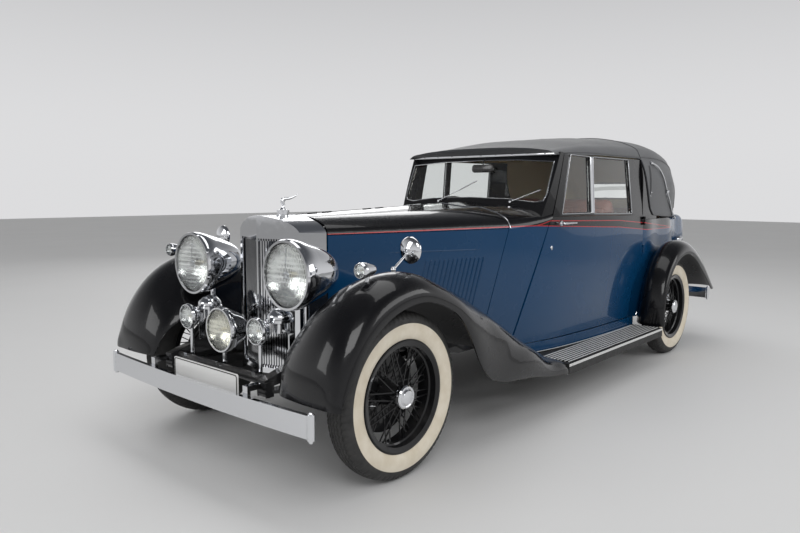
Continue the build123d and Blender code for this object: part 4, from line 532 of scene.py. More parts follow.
def strip_finish():
    """The running boards' strips: polished along their crests, with painted shade, near black, down their metal sides.
    """
    tree, shader, coords = worn("bright_strip", polished, 0.34, 12.0, 0.28, 0.42, Metallic=0.35)
    crest = maths(tree, "GREATER_THAN", axes(tree, coords)[2], strip_crest)
    # The near-black colour is painted shade on the strips' metal sides, below the polished crest.
    coloured(tree, shader, crest, (0.01, 0.01, 0.01), polished)


def iron_finish():
    """Cast iron: coarse grain, stained on the faces that look up."""
    iron = (0.045, 0.045, 0.043)
    tree, shader, coords = new_finish("iron", iron, 0.6, Metallic=0.4)
    bumped(tree, shader, placed(tree, "Grain", coords, Scale=260.0, Creases=0.6)[0], 0.35, 0.002)
    coloured(tree, shader, placed(tree, "Dust", coords, Amount=0.6)[0], iron, (0.12, 0.09, 0.06))


def floor_finish():
    """The floor: carpet above the height of its pan, and black paint below."""
    carpet = (0.045, 0.03, 0.022)
    tree, shader, coords = new_finish("floor_and_sill", carpet, 0.8, Specular_IOR_Level=0.3)
    above = maths(tree, "GREATER_THAN", axes(tree, coords)[2], carpet_foot)
    coloured(tree, shader, above, (0.005, 0.005, 0.006), carpet)
    tree.links.new(spread(tree, above, start=0.3, end=0.95), shader.inputs["Roughness"])
    bumped(tree, shader, noise(tree, coords, 900.0, 4.0), 0.3, 0.0008)


def glass(name, colour):
    """Clear glass with faint smears, which lets the light of the lamps pass straight through it."""
    tree, shader, coords = worn(name, colour, 0.0, 12.0, 0.0, 0.02, Transmission_Weight=1.0, IOR=1.45)
    shadow = node(tree, "LightPath").outputs["Is Shadow Ray"]
    open_way = node(tree, "BsdfTransparent")
    mix = node(tree, "MixShader", {0: shadow, 1: shader.outputs[0], 2: open_way.outputs[0]})
    tree.links.new(mix.outputs[0], tree.nodes["Material Output"].inputs["Surface"])
    return tree, shader, coords


def lamp_glass_finish():
    """Lamp glass pressed in flutes, the product of a sine across and a sine up, and yellower in the middle lamp."""
    colour = (0.95, 0.97, 0.97)
    tree, shader, coords = glass("lamp_glass", colour)
    parts = axes(tree, coords)
    ridge = maths(tree, "SINE", maths(tree, "MULTIPLY", parts[1], 620.0))
    band = maths(tree, "SINE", maths(tree, "MULTIPLY", parts[2], 150.0))
    bumped(tree, shader, maths(tree, "MULTIPLY", band, ridge), 0.35, 0.0015)
    inner = maths(tree, "LESS_THAN", maths(tree, "ABSOLUTE", parts[1]), 0.12)
    coloured(tree, shader, inner, colour, (0.96, 0.96, 0.9))


def board_finish():
    """Running boards: polished metal on the ribs' tops and on the outer edge, and black rubber between them."""
    tree, shader, coords = new_finish("board_ribs", (0.3, 0.3, 0.3), 0.3)
    parts = axes(tree, coords)
    rib = spread(tree, parts[2], 0.2735, 0.2745)
    edge = maths(tree, "GREATER_THAN", maths(tree, "ABSOLUTE", parts[1]), 0.8515)
    lip = maths(tree, "MULTIPLY", edge, maths(tree, "GREATER_THAN", parts[2], 0.256))
    bright = maths(tree, "MAXIMUM", rib, lip)
    tree.links.new(maths(tree, "MULTIPLY", bright, 0.6), shader.inputs["Metallic"])
    coloured(tree, shader, bright, (0.012, 0.012, 0.012), polished)
    dull = mottled(tree, coords, 40.0, 0.45, 0.65)
    rub = mottled(tree, coords, 60.0, 0.26, 0.4)
    mix = node(tree, "Mix", {0: bright, 2: dull, 3: rub}, data_type="FLOAT")
    tree.links.new(mix.outputs[0], shader.inputs["Roughness"])


def cloth_finish(name, colour, threads, depth, roughness, mapped=False):
    """Woven cloth: crossed threads as a bump and a faint change of colour, with a soft sheen. On a mapped piece the
    threads follow its own map."""
    tree, shader, coords = new_finish(name, colour, roughness, Sheen_Weight=0.35, Sheen_Roughness=0.5)
    if mapped:
        coords = node(tree, "UVMap", uv_map="cloth").outputs[0]
    weave = placed(tree, "Weave", coords, Threads=threads)
    darker, lighter = (tuple(min(1, by * c) for c in colour) for by in (0.72, 1.3))
    coloured(tree, shader, weave["Slub"], darker, lighter)
    bumped(tree, shader, weave["Height"], depth, 0.0008)


def hide(name, colour):
    """Leather: fine cells with longer creases as a bump, and a colour that is darker in patches."""
    tree, shader, coords = worn(name, colour, 0.45, 14.0, 0.36, 0.58, Coat_Weight=0.12, Coat_Roughness=0.3)
    coloured(tree, shader, mottled(tree, coords, 7.0, 0.0, 1.0), tuple(0.7 * c for c in colour), colour)
    bumped(tree, shader, placed(tree, "Grain", coords, Scale=520.0, Creases=1.2)[0], 0.22, 0.001)


def wood_finish():
    """Varnished walnut: noise stretched along the car makes the figure, under a clear coat."""
    tree, shader, coords = new_finish("walnut", (0.14, 0.05, 0.02), 0.35, Coat_Weight=1.0, Coat_Roughness=0.05)
    stretched = node(tree, "Mapping", {"Vector": coords, "Scale": (6.0, 14.0, 90.0)})
    figure = noise(tree, stretched.outputs[0], 1.0, 8.0, Distortion=1.5)
    coloured(tree, shader, spread(tree, figure, 0.35, 0.65), (0.05, 0.016, 0.007), (0.24, 0.095, 0.035))
    bumped(tree, shader, figure, 0.03, 0.0005)


def rubber_finish():
    """Tyre rubber: the colour comes from the tread's own attribute, black or the cream of the side band."""
    tree, shader, coords = worn("rubber", (0.02, 0.02, 0.02), 0.6, 30.0, 0.5, 0.75)
    band = node(tree, "Attribute", attribute_name="side_band").outputs["Fac"]
    stain = mottled(tree, coords, 16.0, 0.0, 1.0)
    cream = blended(tree, stain, (0.72, 0.66, 0.55), (0.62, 0.55, 0.43))
    scuff = blended(tree, stain, (0.018, 0.018, 0.018), (0.034, 0.033, 0.032))
    coloured(tree, shader, band, scuff, cream)
    bumped(tree, shader, placed(tree, "Grain", coords, Scale=700.0, Creases=0.5)[0], 0.1, 0.0006)


# Which finish each CAD node takes; left and right nodes share one.
node_finishes = {
    "coachwork": ["bonnet_top", "bonnet_side", "scuttle", "door", "rear_body", "boot_lid"],
    "black_paint": ["front_wing", "rear_wing", "windscreen_frame"],
    "wheel_enamel": ["wheel_front", "wheel_rear"],
    "chassis_paint": [
        "chassis_frame", "front_axle", "rear_axle", "leaf_springs", "knuckle", "track_rod", "propeller_shaft",
        "fuel_tank", "steering_column",
    ],
    "iron": ["engine", "exhaust"],
    "shutter_bars": ["radiator_shutters"],
    "chrome": [
        "radiator_shell", "front_bumper", "rear_bumper", "headlamps", "auxiliary_lamps", "horns",
        "wing_lamps", "landau_irons", "door_handle", "wipers",
    ],
    "tail_lamp": ["tail_lamps"],
    "clear_glass": ["door_glass", "fixed_glass"],
    "lamp_glass": ["lamp_lenses"],
    "board_ribs": ["running_boards"],
    "walnut": ["dashboard"],
    "moulding": ["steering_wheel"],
    "floor_and_sill": ["floor"],
    "plate_white": ["number_plate"],
    "rubber": ["tyre_front", "tyre_rear"],
    "head_cloth": ["hood"],
    "hide": ["front_seats", "rear_seat"],
}


# ---- Operators ----
def colour(name, description, default):
    """A colour in the panel."""
    return bpy.props.FloatVectorProperty(
        name=name, description=description, default=default, subtype="COLOR", min=0, max=1
    )


def length(name, description, default):
    """A length in metres in the panel."""
    return bpy.props.FloatProperty(
        name=name, description=description, default=default, subtype="DISTANCE", unit="LENGTH"
    )


class CoupeLook(bpy.types.PropertyGroup):
    """Colours of the car."""

    blue: colour("Blue", "The lower body's paint", (0.0025, 0.043, 0.118))
    black: colour("Black", "The paint of the waist, the bonnet top and the wings", (0.0045, 0.0045, 0.0055))
    line: colour("Coachline", "The two fine lines along the waist", (0.42, 0.025, 0.03))
    line_width: length("Line width", "Width of a coachline", 0.0055)


class COUPE_OT_finishes(bpy.types.Operator):
    """Make every material, and give each CAD node its own"""

    bl_idname = "coupe.finishes"
    bl_label = "Finishes"

    def execute(self, context):
        make_finishes(context.scene.coupe_look)
        kinds = {kind: finish for finish, names in node_finishes.items() for kind in names}
        for name, piece in nodes.items():
            kind = name.removesuffix("_left").removesuffix("_right")
            if name not in kinds and kind not in kinds:
                raise RuntimeError(f"no finish for {name}")
            piece.data.materials.clear()
            piece.data.materials.append(finishes[kinds.get(name, kinds.get(kind))])
        return {"FINISHED"}


# Half of the tyre's outline from the crown to the bead: offset from its middle and radius.
tyre_outline = [
    (0, 368), (15, 367.2), (30, 364.8), (44, 360.2), (50, 355.5), (57, 346), (63, 331), (66.4, 318), (67.9, 300),
    (67.2, 285), (63.5, 268), (57, 254), (51.7, 246.6), (51, 240), (49.7, 226), (44, 224.4),
]


groove_places = (-34, -17, 0, 17, 34)
groove_half, groove_wander, groove_depth = 3.4, 2.6, 6
cut_depth, cut_start = 4.2, 40
tread_foot = 330


def tyre_parts(x, outside, look):
    """One tyre as a grid of angle by profile. In the tread the radius drops by the groove depth: in five grooves
    whose middle zigzags with the angle, and in short cross cuts on both shoulders."""
    turns = look.tread_cuts * 8
    bands = [look.band_inner * 1000, look.band_outer * 1000]
    half = smooth_line(tyre_outline[:13], 44)
    half = np.concatenate([half, tyre_outline[13:]])
    edges = np.array([[np.interp(-r, -half[:, 1], half[:, 0]), r] for band in bands for r in (band - 0.4, band + 0.4)])
    half = np.concatenate([half, edges])
    half = half[np.argsort(-half[:, 1])]
    profile = np.concatenate([half[:0:-1] * [-1, 1], half])
    angle = np.linspace(0, 2 * pi, turns, endpoint=False)[:, None]
    across, radius = profile[None, :, 0], profile[None, :, 1]
    share = (angle * look.tread_cuts / (2 * pi)) % 1
    wave = 2 * np.abs(share * 2 - 1) - 1
    depth = np.zeros((turns, len(profile)))
    for centre in groove_places:
        gap = np.abs(across - centre - groove_wander * wave)
        depth = np.maximum(depth, np.clip((groove_half - gap) / 1.4, 0, 1) * groove_depth)
    cut = np.clip((np.abs(share - 0.5) - 0.34) / 0.06, 0, 1)
    shoulder = np.clip((np.abs(across) - cut_start) / 4, 0, 1) * np.clip((radius - tread_foot - 8) / 6, 0, 1)
    depth = np.maximum(depth, cut_depth * cut * shoulder)
    depth = depth * (radius > tread_foot)
    reach = radius - depth
    points = np.stack(
        [
            x + reach * np.cos(angle),
            outside * wheel_y + across + np.zeros_like(angle),
            tyre_radius + reach * np.sin(angle),
        ],
        -1,
    )
    low, high = bands
    band = ((profile[:, 0] * outside > cut_start) & (profile[:, 1] > low) & (profile[:, 1] < high)).astype(np.float32)
    return grid(points / 1000, wrap_rows=True, wrap_columns=True), np.tile(band, turns)


class CoupeTyres(bpy.types.PropertyGroup):
    """Sizes of the tyres' pattern and side band."""

    tread_cuts: bpy.props.IntProperty(
        name="Tread cuts", description="Cross cuts round a tyre", default=74, min=20, max=90
    )
    band_inner: length("Band inner radius", "Where the cream side band starts", 0.25)
    band_outer: length("Band outer radius", "Where the cream side band ends", 0.32)


class COUPE_OT_tyres(bpy.types.Operator):
    """Make the four tyres with their tread and cream side bands, in place of the plain ones"""

    bl_idname = "coupe.tyres"
    bl_label = "Tyres"

    def execute(self, context):
        for axle, x in axles:
            for side, name in sides:
                surface, band = tyre_parts(x, side, context.scene.coupe_tyres)
                plain, wheel = f"tyre_{axle}_{name}", f"{axle}_wheel_{name}"
                tyre = make(f"{plain}_tread", [surface], wheel, "rubber", "tyre", [plain], sharp=40)
                tyre.data.attributes.new("side_band", "FLOAT", "POINT").data.foreach_set("value", band)
        return {"FINISHED"}


class COUPE_OT_hub_caps(bpy.types.Operator):
    """Make the plain plated hub caps with their raised rings and the valves"""

    bl_idname = "coupe.hub_caps"
    bl_label = "Hub caps"

    def execute(self, context):
        cap = [
            (44, 0), (44, 46), (50, 52), (58, 53), (66, 52), (71, 47), (72, 41), (70.5, 38), (73, 34), (77, 30),
            (79, 20), (80, 0),
        ]
        for axle, x in axles:
            for side, name in sides:
                centre = np.array([x, side * wheel_y, tyre_radius]) / 1000
                out = (0, side, 0)
                ear = spun(cap, centre, out, 56)
                nut = turned(np.array([(38, 40), (44, 40), (44, 47), (38, 47)]) / 1000, centre, out, 8)
                plated(f"hub_cap_{axle}_{name}", [ear, nut], f"{axle}_wheel_{name}", sharp=30, merge=weld)
                stem = centre + np.array([0.196, side * 0.028, 0.0])
                valve = spun([(0, 0), (0, 4), (16, 4), (17, 3), (30, 3), (31, 0)], stem, (-0.6, side * 0.8, 0), 10)
                plated(f"valve_{axle}_{name}", [valve], f"{axle}_wheel_{name}", merge=weld)
        return {"FINISHED"}


# Height of the head cloth's lower edge: over the doors it follows the cant rail, and behind them it curves down.
cloth_foot = [
    (1612, 1476), (2200, 1494), (2862, 1499), (2880, 1492), (2906, 1410), (2950, 1290), (3020, 1130), (3090, 1068),
    (3175, 1046), (3560, 1052), (3950, 1056),
]
bow_places = (1612, 2040, 2470, 2880, 3260, 3590, 3800)
# Half width of the back window, and its lower and upper edge.
back_window = (300, 1196, 1330)
screen_top = 1.489
cloth_span, cloth_proud = (1600, 3950), 2.0
lining_span, lining_proud = (1668, 3935), -26.0
quarter_span, quarter_thick = (2872, 3170), 0.022
# The highest foot of a quarter panel, on top of the waist.
waist_height = 1053
# Each strap's distance behind, and the heights of its top, its foot and the plated tip under it.
head_straps = ((3010, 1452, 1236, 1224), (3028, 1450, 1262, 1250))


def head_half(distance, foot, proud, count):
    """The head's half section from a foot height up to the crown, read evenly along its length."""
    ring = head_ring(distance, proud, 160)
    length = run_length(ring)
    start = np.interp(foot, ring[:, 1], length)
    at = np.linspace(start, length[-1], count)
    return np.stack([np.interp(at, length, ring[:, k]) for k in (0, 1)], 1), length[-1] - at


def both_halves(half):
    """A whole section from foot to foot, from its left half."""
    return np.concatenate([half, half[-2::-1] * [-1, 1]])


def head_rows(start, end, step):
    """Distances from start to end whose points on the crown line are about a step apart."""
    distance = np.linspace(start, end, 800)
    length = run_length(np.stack([distance, eased(head_sections, distance, crown)], 1))
    return np.interp(np.linspace(0, length[-1], int(length[-1] / step)), length, distance), length[-1]


def head_sheet(start, end, foot, proud, step, columns, sag=0.0, tail=0, nose=0):
    """The head as one sheet: each row is a whole section over the car, foot to foot. It sags between the bows by a
    sine squared of the way from one bow to the next, most near the crown. Its tail rows close down to the belt, and
    its nose rows turn down and back to the screen."""
    rows, length = head_rows(start, end, step)
    grids, flats = [], []
    bows = np.asarray(bow_places, float)
    for distance in rows:
        half, along = head_half(distance, through(foot, distance), proud, columns)
        i = np.clip(np.searchsorted(bows, distance) - 1, 0, len(bows) - 2)
        share = np.clip((distance - bows[i]) / (bows[i + 1] - bows[i]), 0, 1)
        weight = np.clip(1 - along / along.max(), 0, 1) ** 0.6
        half[:, 1] -= sag * sin(pi * share) ** 2 * weight
        whole = both_halves(half)
        grids.append(place(distance, whole[:, 0], whole[:, 1]))
        flats.append(np.concatenate([along, -along[-2::-1]]) / 1000)
    grids, flats = np.array(grids), np.array(flats)
    u = np.linspace(0, length / 1000, len(rows))
    if tail:
        last = grids[-1]
        floor = last[0, 2]
        share = np.linspace(1, 0, tail + 1)[1:, None]
        extra = np.repeat(last[None], tail, 0)
        extra[:, :, 2] = floor + share * (last[:, 2] - floor)
        extra[:, :, 0] -= 0.002 * (1 - share)
        grids = np.concatenate([grids, extra])
        flats = np.concatenate([flats, np.repeat(flats[-1:], tail, 0)])
        u = np.concatenate([u, u[-1] + np.linspace(0, 0.11, tail + 1)[1:]])
    if nose:
        first = grids[0]
        share = np.linspace(0, 1, nose + 1)[:-1, None]
        extra = np.repeat(first[None], nose, 0)
        extra[:, :, 2] = screen_top + share**0.8 * (first[:, 2] - screen_top)
        extra[:, :, 0] -= 0.05 * (1 - share) ** 2
        grids = np.concatenate([extra, grids])
        flats = np.concatenate([np.repeat(flats[:1], nose, 0), flats])
        u = np.concatenate([np.linspace(0, 0.06, nose), u + 0.07])
    return grids, np.stack([np.broadcast_to(u[:, None], flats.shape), flats], -1)


def with_map(piece, flat):
    """Gives a mesh its map in metres, one pair for each vertex."""
    layer = piece.data.uv_layers.new(name="cloth")
    index = np.zeros(len(piece.data.loops), int)
    piece.data.loops.foreach_get("vertex_index", index)
    layer.data.foreach_set("uv", flat.reshape(-1, 2)[index].ravel())


def sheet_of(name, points, flat, keep, finish, slot, replaces=()):
    """A cloth piece of one layer from a grid, without the quads where keep is false."""
    vertices, faces = grid(points)
    faces = [face for face, kept in zip(faces, keep.ravel()) if kept]
    piece = make(name, [(vertices, faces)], "root", finish, slot, replaces, solid=False, sharp=60)
    with_map(piece, flat)
    return piece


def quad_middles(points):
    """The middle of each quad in a grid."""
    return (points[:-1, :-1] + points[1:, :-1] + points[1:, 1:] + points[:-1, 1:]) / 4


def off_window(points, grow):
    """True for quads outside the back window's rectangle, grown on every side, on the back of the head."""
    mid = quad_middles(points) * 1000
    half, low, high = back_window
    inside = (np.abs(mid[..., 1]) < half + grow) & (mid[..., 2] > low - grow) & (mid[..., 2] < high + grow)
    return ~(inside & (mid[..., 0] < front_axle_x - 3700))


def back_surface(y, height, proud):
    """The distance at which the back of the head passes through a place in the back view."""
    distances = np.linspace(3640, 3950, 120)
    heights = []
    for distance in distances:
        ring = head_ring(distance, proud, 80)
        heights.append(np.interp(-np.abs(y), -ring[:, 0], ring[:, 1]))
    heights = np.array(heights)
    return np.array([np.interp(-h, -heights[:, k], distances) for k, h in enumerate(height)])


class COUPE_OT_head(bpy.types.Operator):
    """Make the folding head: the outer cloth, its lining, seams, the quarter panels and the back window's frame"""

    bl_idname = "coupe.head"
    bl_label = "Head"

    def execute(self, context):
        points, flat = head_sheet(*cloth_span, cloth_foot, cloth_proud, 14, 62, sag=6.0, tail=8, nose=7)
        keep = off_window(points, 0)
        cloth = sheet_of("head_cloth", points, flat, keep, "head_cloth", "cloth", ["hood"])
        lining_foot = [(d, min(z, 1482)) if d < 2872 else (d, z - 40) for d, z in cloth_foot]
        inner, flat = head_sheet(*lining_span, lining_foot, lining_proud, 26, 40, sag=4.0, tail=4)
        keep = off_window(inner, 6)
        lining = sheet_of("head_lining", inner, flat, keep, "lining_cloth", "cloth")
        self.seams()
        self.quarters()
        self.back_frame()
        return {"FINISHED"}

    def seams(self):
        """Welts on the cloth: across behind the doors, along both cant rails and above the back window."""
        welt = circle(0.0032, 8)
        parts = []
        for distance, low in ((2880, 1500), (3790, 1120)):
            half, _ = head_half(distance, low, 3.0, 40)
            whole = both_halves(half)
            parts.append(carried(place(distance, whole[:, 0], whole[:, 1]), welt, up=(1, 0, 0)))
        for side, _ in sides:
            rows = np.linspace(1612, 3905, 90)
            line = []
            for distance in rows:
                low = eased(head_sections, distance, cant_height) + 14
                half, _ = head_half(distance, min(low, eased(head_sections, distance, crown) - 30), 3.0, 2)
                line.append((distance, side * half[0, 0], half[0, 1]))
            line = np.array(line)
            parts.append(carried(place(line[:, 0], line[:, 1], line[:, 2]), welt))
            foot = np.linspace(2880, 3940, 70)
            edge = np.array([head_half(d, through(cloth_foot, d), 4.0, 2)[0][0] for d in foot])
            parts.append(carried(place(foot, side * edge[:, 0], edge[:, 1]), circle(0.0045, 8)))
        make("head_welts", parts, "root", "welt_cloth", "cloth")

    def quarters(self):
        """The painted panels between the doors and the cloth quarters, and the head irons' cloth straps with the
        plated tips under them."""
        for side, name in sides:
            rows = np.linspace(*quarter_span, 26)
            grids = []
            for distance in rows:
                top = through(cloth_foot, distance) + 26
                belt = eased(belt_line, distance)
                ring = head_ring(distance, 0.0, 160)
                height = np.linspace(min(belt, waist_height) - 6, max(top, belt), 18)
                y = np.minimum(np.interp(height, ring[:, 1], ring[:, 0]), half_width(distance) - 1.5)
                grids.append(place(distance, side * y, height))
            outer = np.array(grids)
            inner = outer - np.array([0, side * quarter_thick, 0])
            rings = np.concatenate([outer, inner[:, ::-1]], axis=1)
            make(f"quarter_panel_{name}", [closed_rings(rings)], "root", "black_paint", "black")
            strips, tips = [], []
            stud = [(-3, 0), (-3, 5), (2, 6), (4, 4), (5, 0)]
            for distance, top, foot, tip in head_straps:
                height = np.linspace(foot, top, 20)
                ring = head_ring(distance, 5.0, 160)
                y = np.interp(height, ring[:, 1], ring[:, 0])
                strips.append(carried(place(distance, side * y, height), oblong(0.007, 0.002, 0.0008), up=(0, 1, 0)))
                ring = head_ring(distance, 6.0, 160)
                y = float(np.interp(tip, ring[:, 1], ring[:, 0]))
                tips.append(spun(stud, place(distance, side * y, tip), (0, side, 0), 16))
            make(f"head_straps_{name}", strips, "root", "welt_cloth", "cloth")
            plated(f"head_strap_tips_{name}", tips, merge=weld)

    def back_frame(self):
        """The back window's frame: a flat rounded strip carried round a rounded rectangle laid on the head's back."""
        half, low, high = back_window
        ring = oblong(2 * half + 12, high - low + 12, 30, 8)
        ring = np.concatenate([ring, ring[:1]])
        length = run_length(ring)
        at = np.linspace(0, length[-1], 160, endpoint=False)
        y, z = np.interp(at, length, ring[:, 0]), np.interp(at, length, ring[:, 1]) + (low + high) / 2
        path = place(back_surface(y, z, 4.0), y, z)
        strip = carried(path, oblong(0.006, 0.03, 0.002), up=(1, 0, 0.2), closed=True)
        make("back_window_frame", [strip], "root", "welt_cloth", "cloth")
        y, z = y * 0.97, (z - (low + high) / 2) * 0.9 + (low + high) / 2
        inner = place(back_surface(y, z, 6.0), y, z)
        plated("back_window_bead", [carried(inner, circle(0.003, 8), up=(1, 0, 0.2), closed=True)])


def skin_of(*names):
    """A search tree over the skins of CAD nodes or of new pieces."""
    vertices, faces, start = [], [], 0
    for name in names:
        mesh = (nodes[name] if name in nodes else bpy.data.objects[name]).data
        vertices += [vertex.co.copy() for vertex in mesh.vertices]
        faces += [[start + k for k in polygon.vertices] for polygon in mesh.polygons]
        start += len(mesh.vertices)
    return BVHTree.FromPolygons(vertices, faces)


def laid(skin, points, toward, proud):
    """Points moved along their direction until they meet a skin, and then back by a small height."""
    points = np.asarray(points, float)
    directions = np.broadcast_to(np.asarray(toward, float), points.shape)
    found = [skin.ray_cast(Vector(p), Vector(d)) for p, d in zip(points, directions)]
    if any(hit[0] is None for hit in found):
        raise RuntimeError(f"a line of trim misses its panel at {[i for i, hit in enumerate(found) if hit[0] is None]}")
    unit = directions / np.linalg.norm(directions, axis=1)[:, None]
    return np.array([tuple(hit[0]) for hit in found]) - proud * unit


def run(corners, step, closed=False):
    """Points about a step apart along straight runs between corners."""
    corners = np.asarray(corners, float)
    if closed:
        corners = np.concatenate([corners, corners[:1]])
    length = run_length(corners)
    at = np.linspace(0, length[-1], int(length[-1] / step), endpoint=not closed)
    return np.stack([np.interp(at, length, corners[:, k]) for k in range(corners.shape[1])], 1)


def side_line(skin, path, side, proud=0.0015):
    """A line of (distance, height) pairs laid on a side of the car."""
    path = np.asarray(path, float)
    return laid(skin, place(path[:, 0], side * 950, path[:, 1]), (0, -side, 0), proud)


# The windscreen: the distance behind and the height of its foot, its lean, and its opening's outline and middle.
screen_foot, screen_foot_height, screen_lean = 1495, 1100, 158 / 376
screen_opening = [
    (540, 1196), (554, 1232), (552, 1432), (300, 1448), (0, 1452), (-300, 1448), (-552, 1432), (-554, 1232),
    (-540, 1196), (-480, 1186), (-300, 1204), (0, 1212), (300, 1204), (480, 1186),
]
screen_middle = [0, 1320]
# Each door's two lights, and the bar between them, as distance behind and height.
door_lights = (
    [(1692, 1114), (1778, 1480), (2035, 1478), (2035, 1114)],
    [(2075, 1108), (2075, 1478), (2638, 1480), (2656, 1098)],
)
light_bar = (2055, 1112, 1476)
lock_place = (1586, 907)
# Distance behind of the bead over the scuttle, with the offset and the height of the fan's centre that lays it.
scuttle_bead = (1231, 0, 960)
iron_line = [(3062, 1474), (3180, 1450), (3305, 1371), (3400, 1265), (3528, 1156), (3656, 1040)]
wing_piping = [(2850, 330), (2910, 437), (2992, 583), (3118, 704), (3211, 792)]


def screen_place(y, height, ahead):
    """Points ahead of the leaning windscreen's front."""
    return place(screen_foot + screen_lean * (np.asarray(height, float) - screen_foot_height) - ahead, y, height)


class COUPE_OT_body_trim(bpy.types.Operator):
    """Lay the bright beads, window frames, escutcheons and pipings on the body"""

    bl_idname = "coupe.body_trim"
    bl_label = "Body trim"

    def execute(self, context):
        self.irons()
        scuttle = skin_of("scuttle")
        fan = np.linspace(radians(9), radians(171), 90)
        outward = np.stack([0 * fan, np.cos(fan), np.sin(fan)], 1)
        bead = laid(scuttle, place(*scuttle_bead) + outward, -outward, 0.0012)
        plated("scuttle_bead", [carried(bead, circle(0.0032, 8), up=(1, 0, 0))])
        edge = run(screen_opening, 14, closed=True)
        edge = (edge - screen_middle) * [1.006, 1.012] + screen_middle
        edge = screen_place(edge[:, 0], edge[:, 1], 1.5)
        plated("screen_bead", [carried(edge, circle(0.0036, 8), up=(1, 0, 0), closed=True)])
        across = np.linspace(-572, 572, 40)
        strip = carried(screen_place(across, 1484 + 0 * across, 3), oblong(0.005, 0.015, 0.002))
        studs = [
            spun([(0, 0), (0, 6), (2, 5), (4, 0)], screen_place(y, 1485, 5), (0.92, 0, 0.39), 12)
            for y in np.linspace(-480, 480, 9)
        ]
        plated("screen_header", [strip, *studs], merge=weld)
        for side, name in sides:
            self.door(side, name)
            bonnet = skin_of(f"bonnet_side_{name}")
            crease = np.stack([np.linspace(404, 1004, 50), np.linspace(937, 925, 50)], 1)
            swell = np.sin(np.linspace(0.05, pi - 0.05, 50)) ** 0.3
            line = carried(side_line(bonnet, crease, side, 0.0), oblong(0.003, 0.006, 0.0012), swell=swell)
            catches = []
            for distance in (300, 980):
                spot = side_line(bonnet, [(distance, 560)], side, 0.0)[0]
                catches.append(spun([(0, 0), (0, 11), (5, 10), (8, 6), (9, 0)], spot, (0, side, 0), 20))
                lever = run([spot + [0.03, side * 0.009, 0.0], spot + [-0.03, side * 0.009, 0.0]], 0.006)
                catches.append(carried(lever, oblong(0.004, 0.009, 0.0015), swell=np.linspace(0.6, 1, len(lever))))
            make(f"bonnet_bead_{name}", [line], f"{name}_bonnet_side", "coachwork", "blue")
            plated(f"bonnet_catches_{name}", catches, f"{name}_bonnet_side", merge=weld)
            body = skin_of("rear_body")
            piping = side_line(body, smooth_line(wing_piping, 60), side, 0.003)
            plated(f"wing_piping_{name}", [carried(piping, circle(0.0035, 8), up=(0, 1, 0))])
        return {"FINISHED"}

    def door(self, side, name):
        """Bright frames round a door's two lights, the cover of the bar between them and the diamond lock plate."""
        skin = skin_of(f"door_{name}")
        parts = []
        for light in door_lights:
            middle_point = np.mean(light, axis=0)
            path = run((np.array(light) - middle_point) * [1.004, 1.006] + middle_point, 16, closed=True)
            path = side_line(skin, path, side, 0.001)
            parts.append(carried(path, oblong(0.004, 0.009, 0.0015), up=(0, 1, 0), closed=True))
        behind, low, high = light_bar
        bar = np.stack([np.full(30, behind), np.linspace(low, high, 30)], 1)
        parts.append(carried(side_line(skin, bar, side, 0.0015), oblong(0.03, 0.004, 0.0018), up=(0, 1, 0)))
        plated(f"window_frames_{name}", parts, f"{name}_door")
        spot = side_line(skin, [lock_place], side, 0.0)[0]
        plate = spun([(-1, 0), (-1, 15), (1.2, 14), (2.4, 8), (2.6, 0)], spot, (0, side, 0), 4)
        keyhole = spun([(0, 0), (2.6, 4.5), (4.2, 4), (4.4, 0)], spot, (0, side, 0), 16)
        plated(f"lock_plate_{name}", [plate, keyhole], f"{name}_door", merge=weld, sharp=20)

    def irons(self):
        """The head irons' upper faces: a round bar on an S-shaped line laid on the cloth, its offset from the cloth
        evened out by a curve of the fourth degree, with a knuckle in the middle and a foot at either end."""
        quarter = skin_of("head_cloth", "rear_body")
        line = smooth_line(iron_line, 60)
        share = np.linspace(0, 1, 60)
        button = np.array([(-8, 0), (-8, 12), (4, 13), (9, 8), (10, 0)])
        for side, name in sides:
            path = side_line(quarter, line, side, 0.011)
            path[:, 1] = np.polynomial.Polynomial.fit(share, path[:, 1], 4)(share)
            parts = [carried(path, circle(0.0065, 12))]
            for spot, size in ((path[0], 1), (path[33], 1.35), (path[-1], 1)):
                parts.append(spun(button * size, spot, (0, side, 0), 24))
            plated(f"landau_iron_{name}", parts, merge=weld)


# The running boards: the strips' height, ends, outermost offset, spacing and number, and the sill panels' ends.
strip_height, strip_ends = 276.5, [1372, 2722]
strip_outermost, strip_pitch, strip_count = 830, 24, 8
sill_span = (1340, 2754)


class COUPE_OT_boards(bpy.types.Operator):
    """Cap the running boards' ribs with polished strips and close the sides between the boards and the body"""

    bl_idname = "coupe.boards"
    bl_label = "Running boards"

    def execute(self, context):
        ridge = np.array([(-7.5, -2.5), (-7.5, 1), (-5.5, 3), (5.5, 3), (7.5, 1), (7.5, -2.5)]) / 1000
        rows = np.linspace(*sill_span, 60)
        for side, name in sides:
            offsets = strip_outermost - strip_pitch * np.arange(strip_count)
            strips = [carried(place(strip_ends, side * y, strip_height), ridge) for y in offsets]
            edge = rows[3:-3]
            strips.append(carried(place(edge, side * (half_width(edge) + 9), strip_height), ridge))
            make(f"board_strips_{name}", strips, "root", "bright_strip", "board_metal", sharp=40)
            height = np.array([271, 290, 314, 335])
            outer = place(rows[:, None], side * (half_width(rows)[:, None] - 10), height[None])
            inner = outer - np.array([0, side * 0.004, 0])
            sill = closed_rings(np.concatenate([outer, inner[:, ::-1]], axis=1))
            make(f"sill_panel_{name}", [sill], "root", "coachwork", "blue")
        return {"FINISHED"}


# Where each bumper's nuts stand: x, offset and height.
bumper_nuts = ((front_axle_x + 524, 758, 315), (rear_axle_x - 974, 720, 315))
cap_ahead, cap_height = 28, 1150


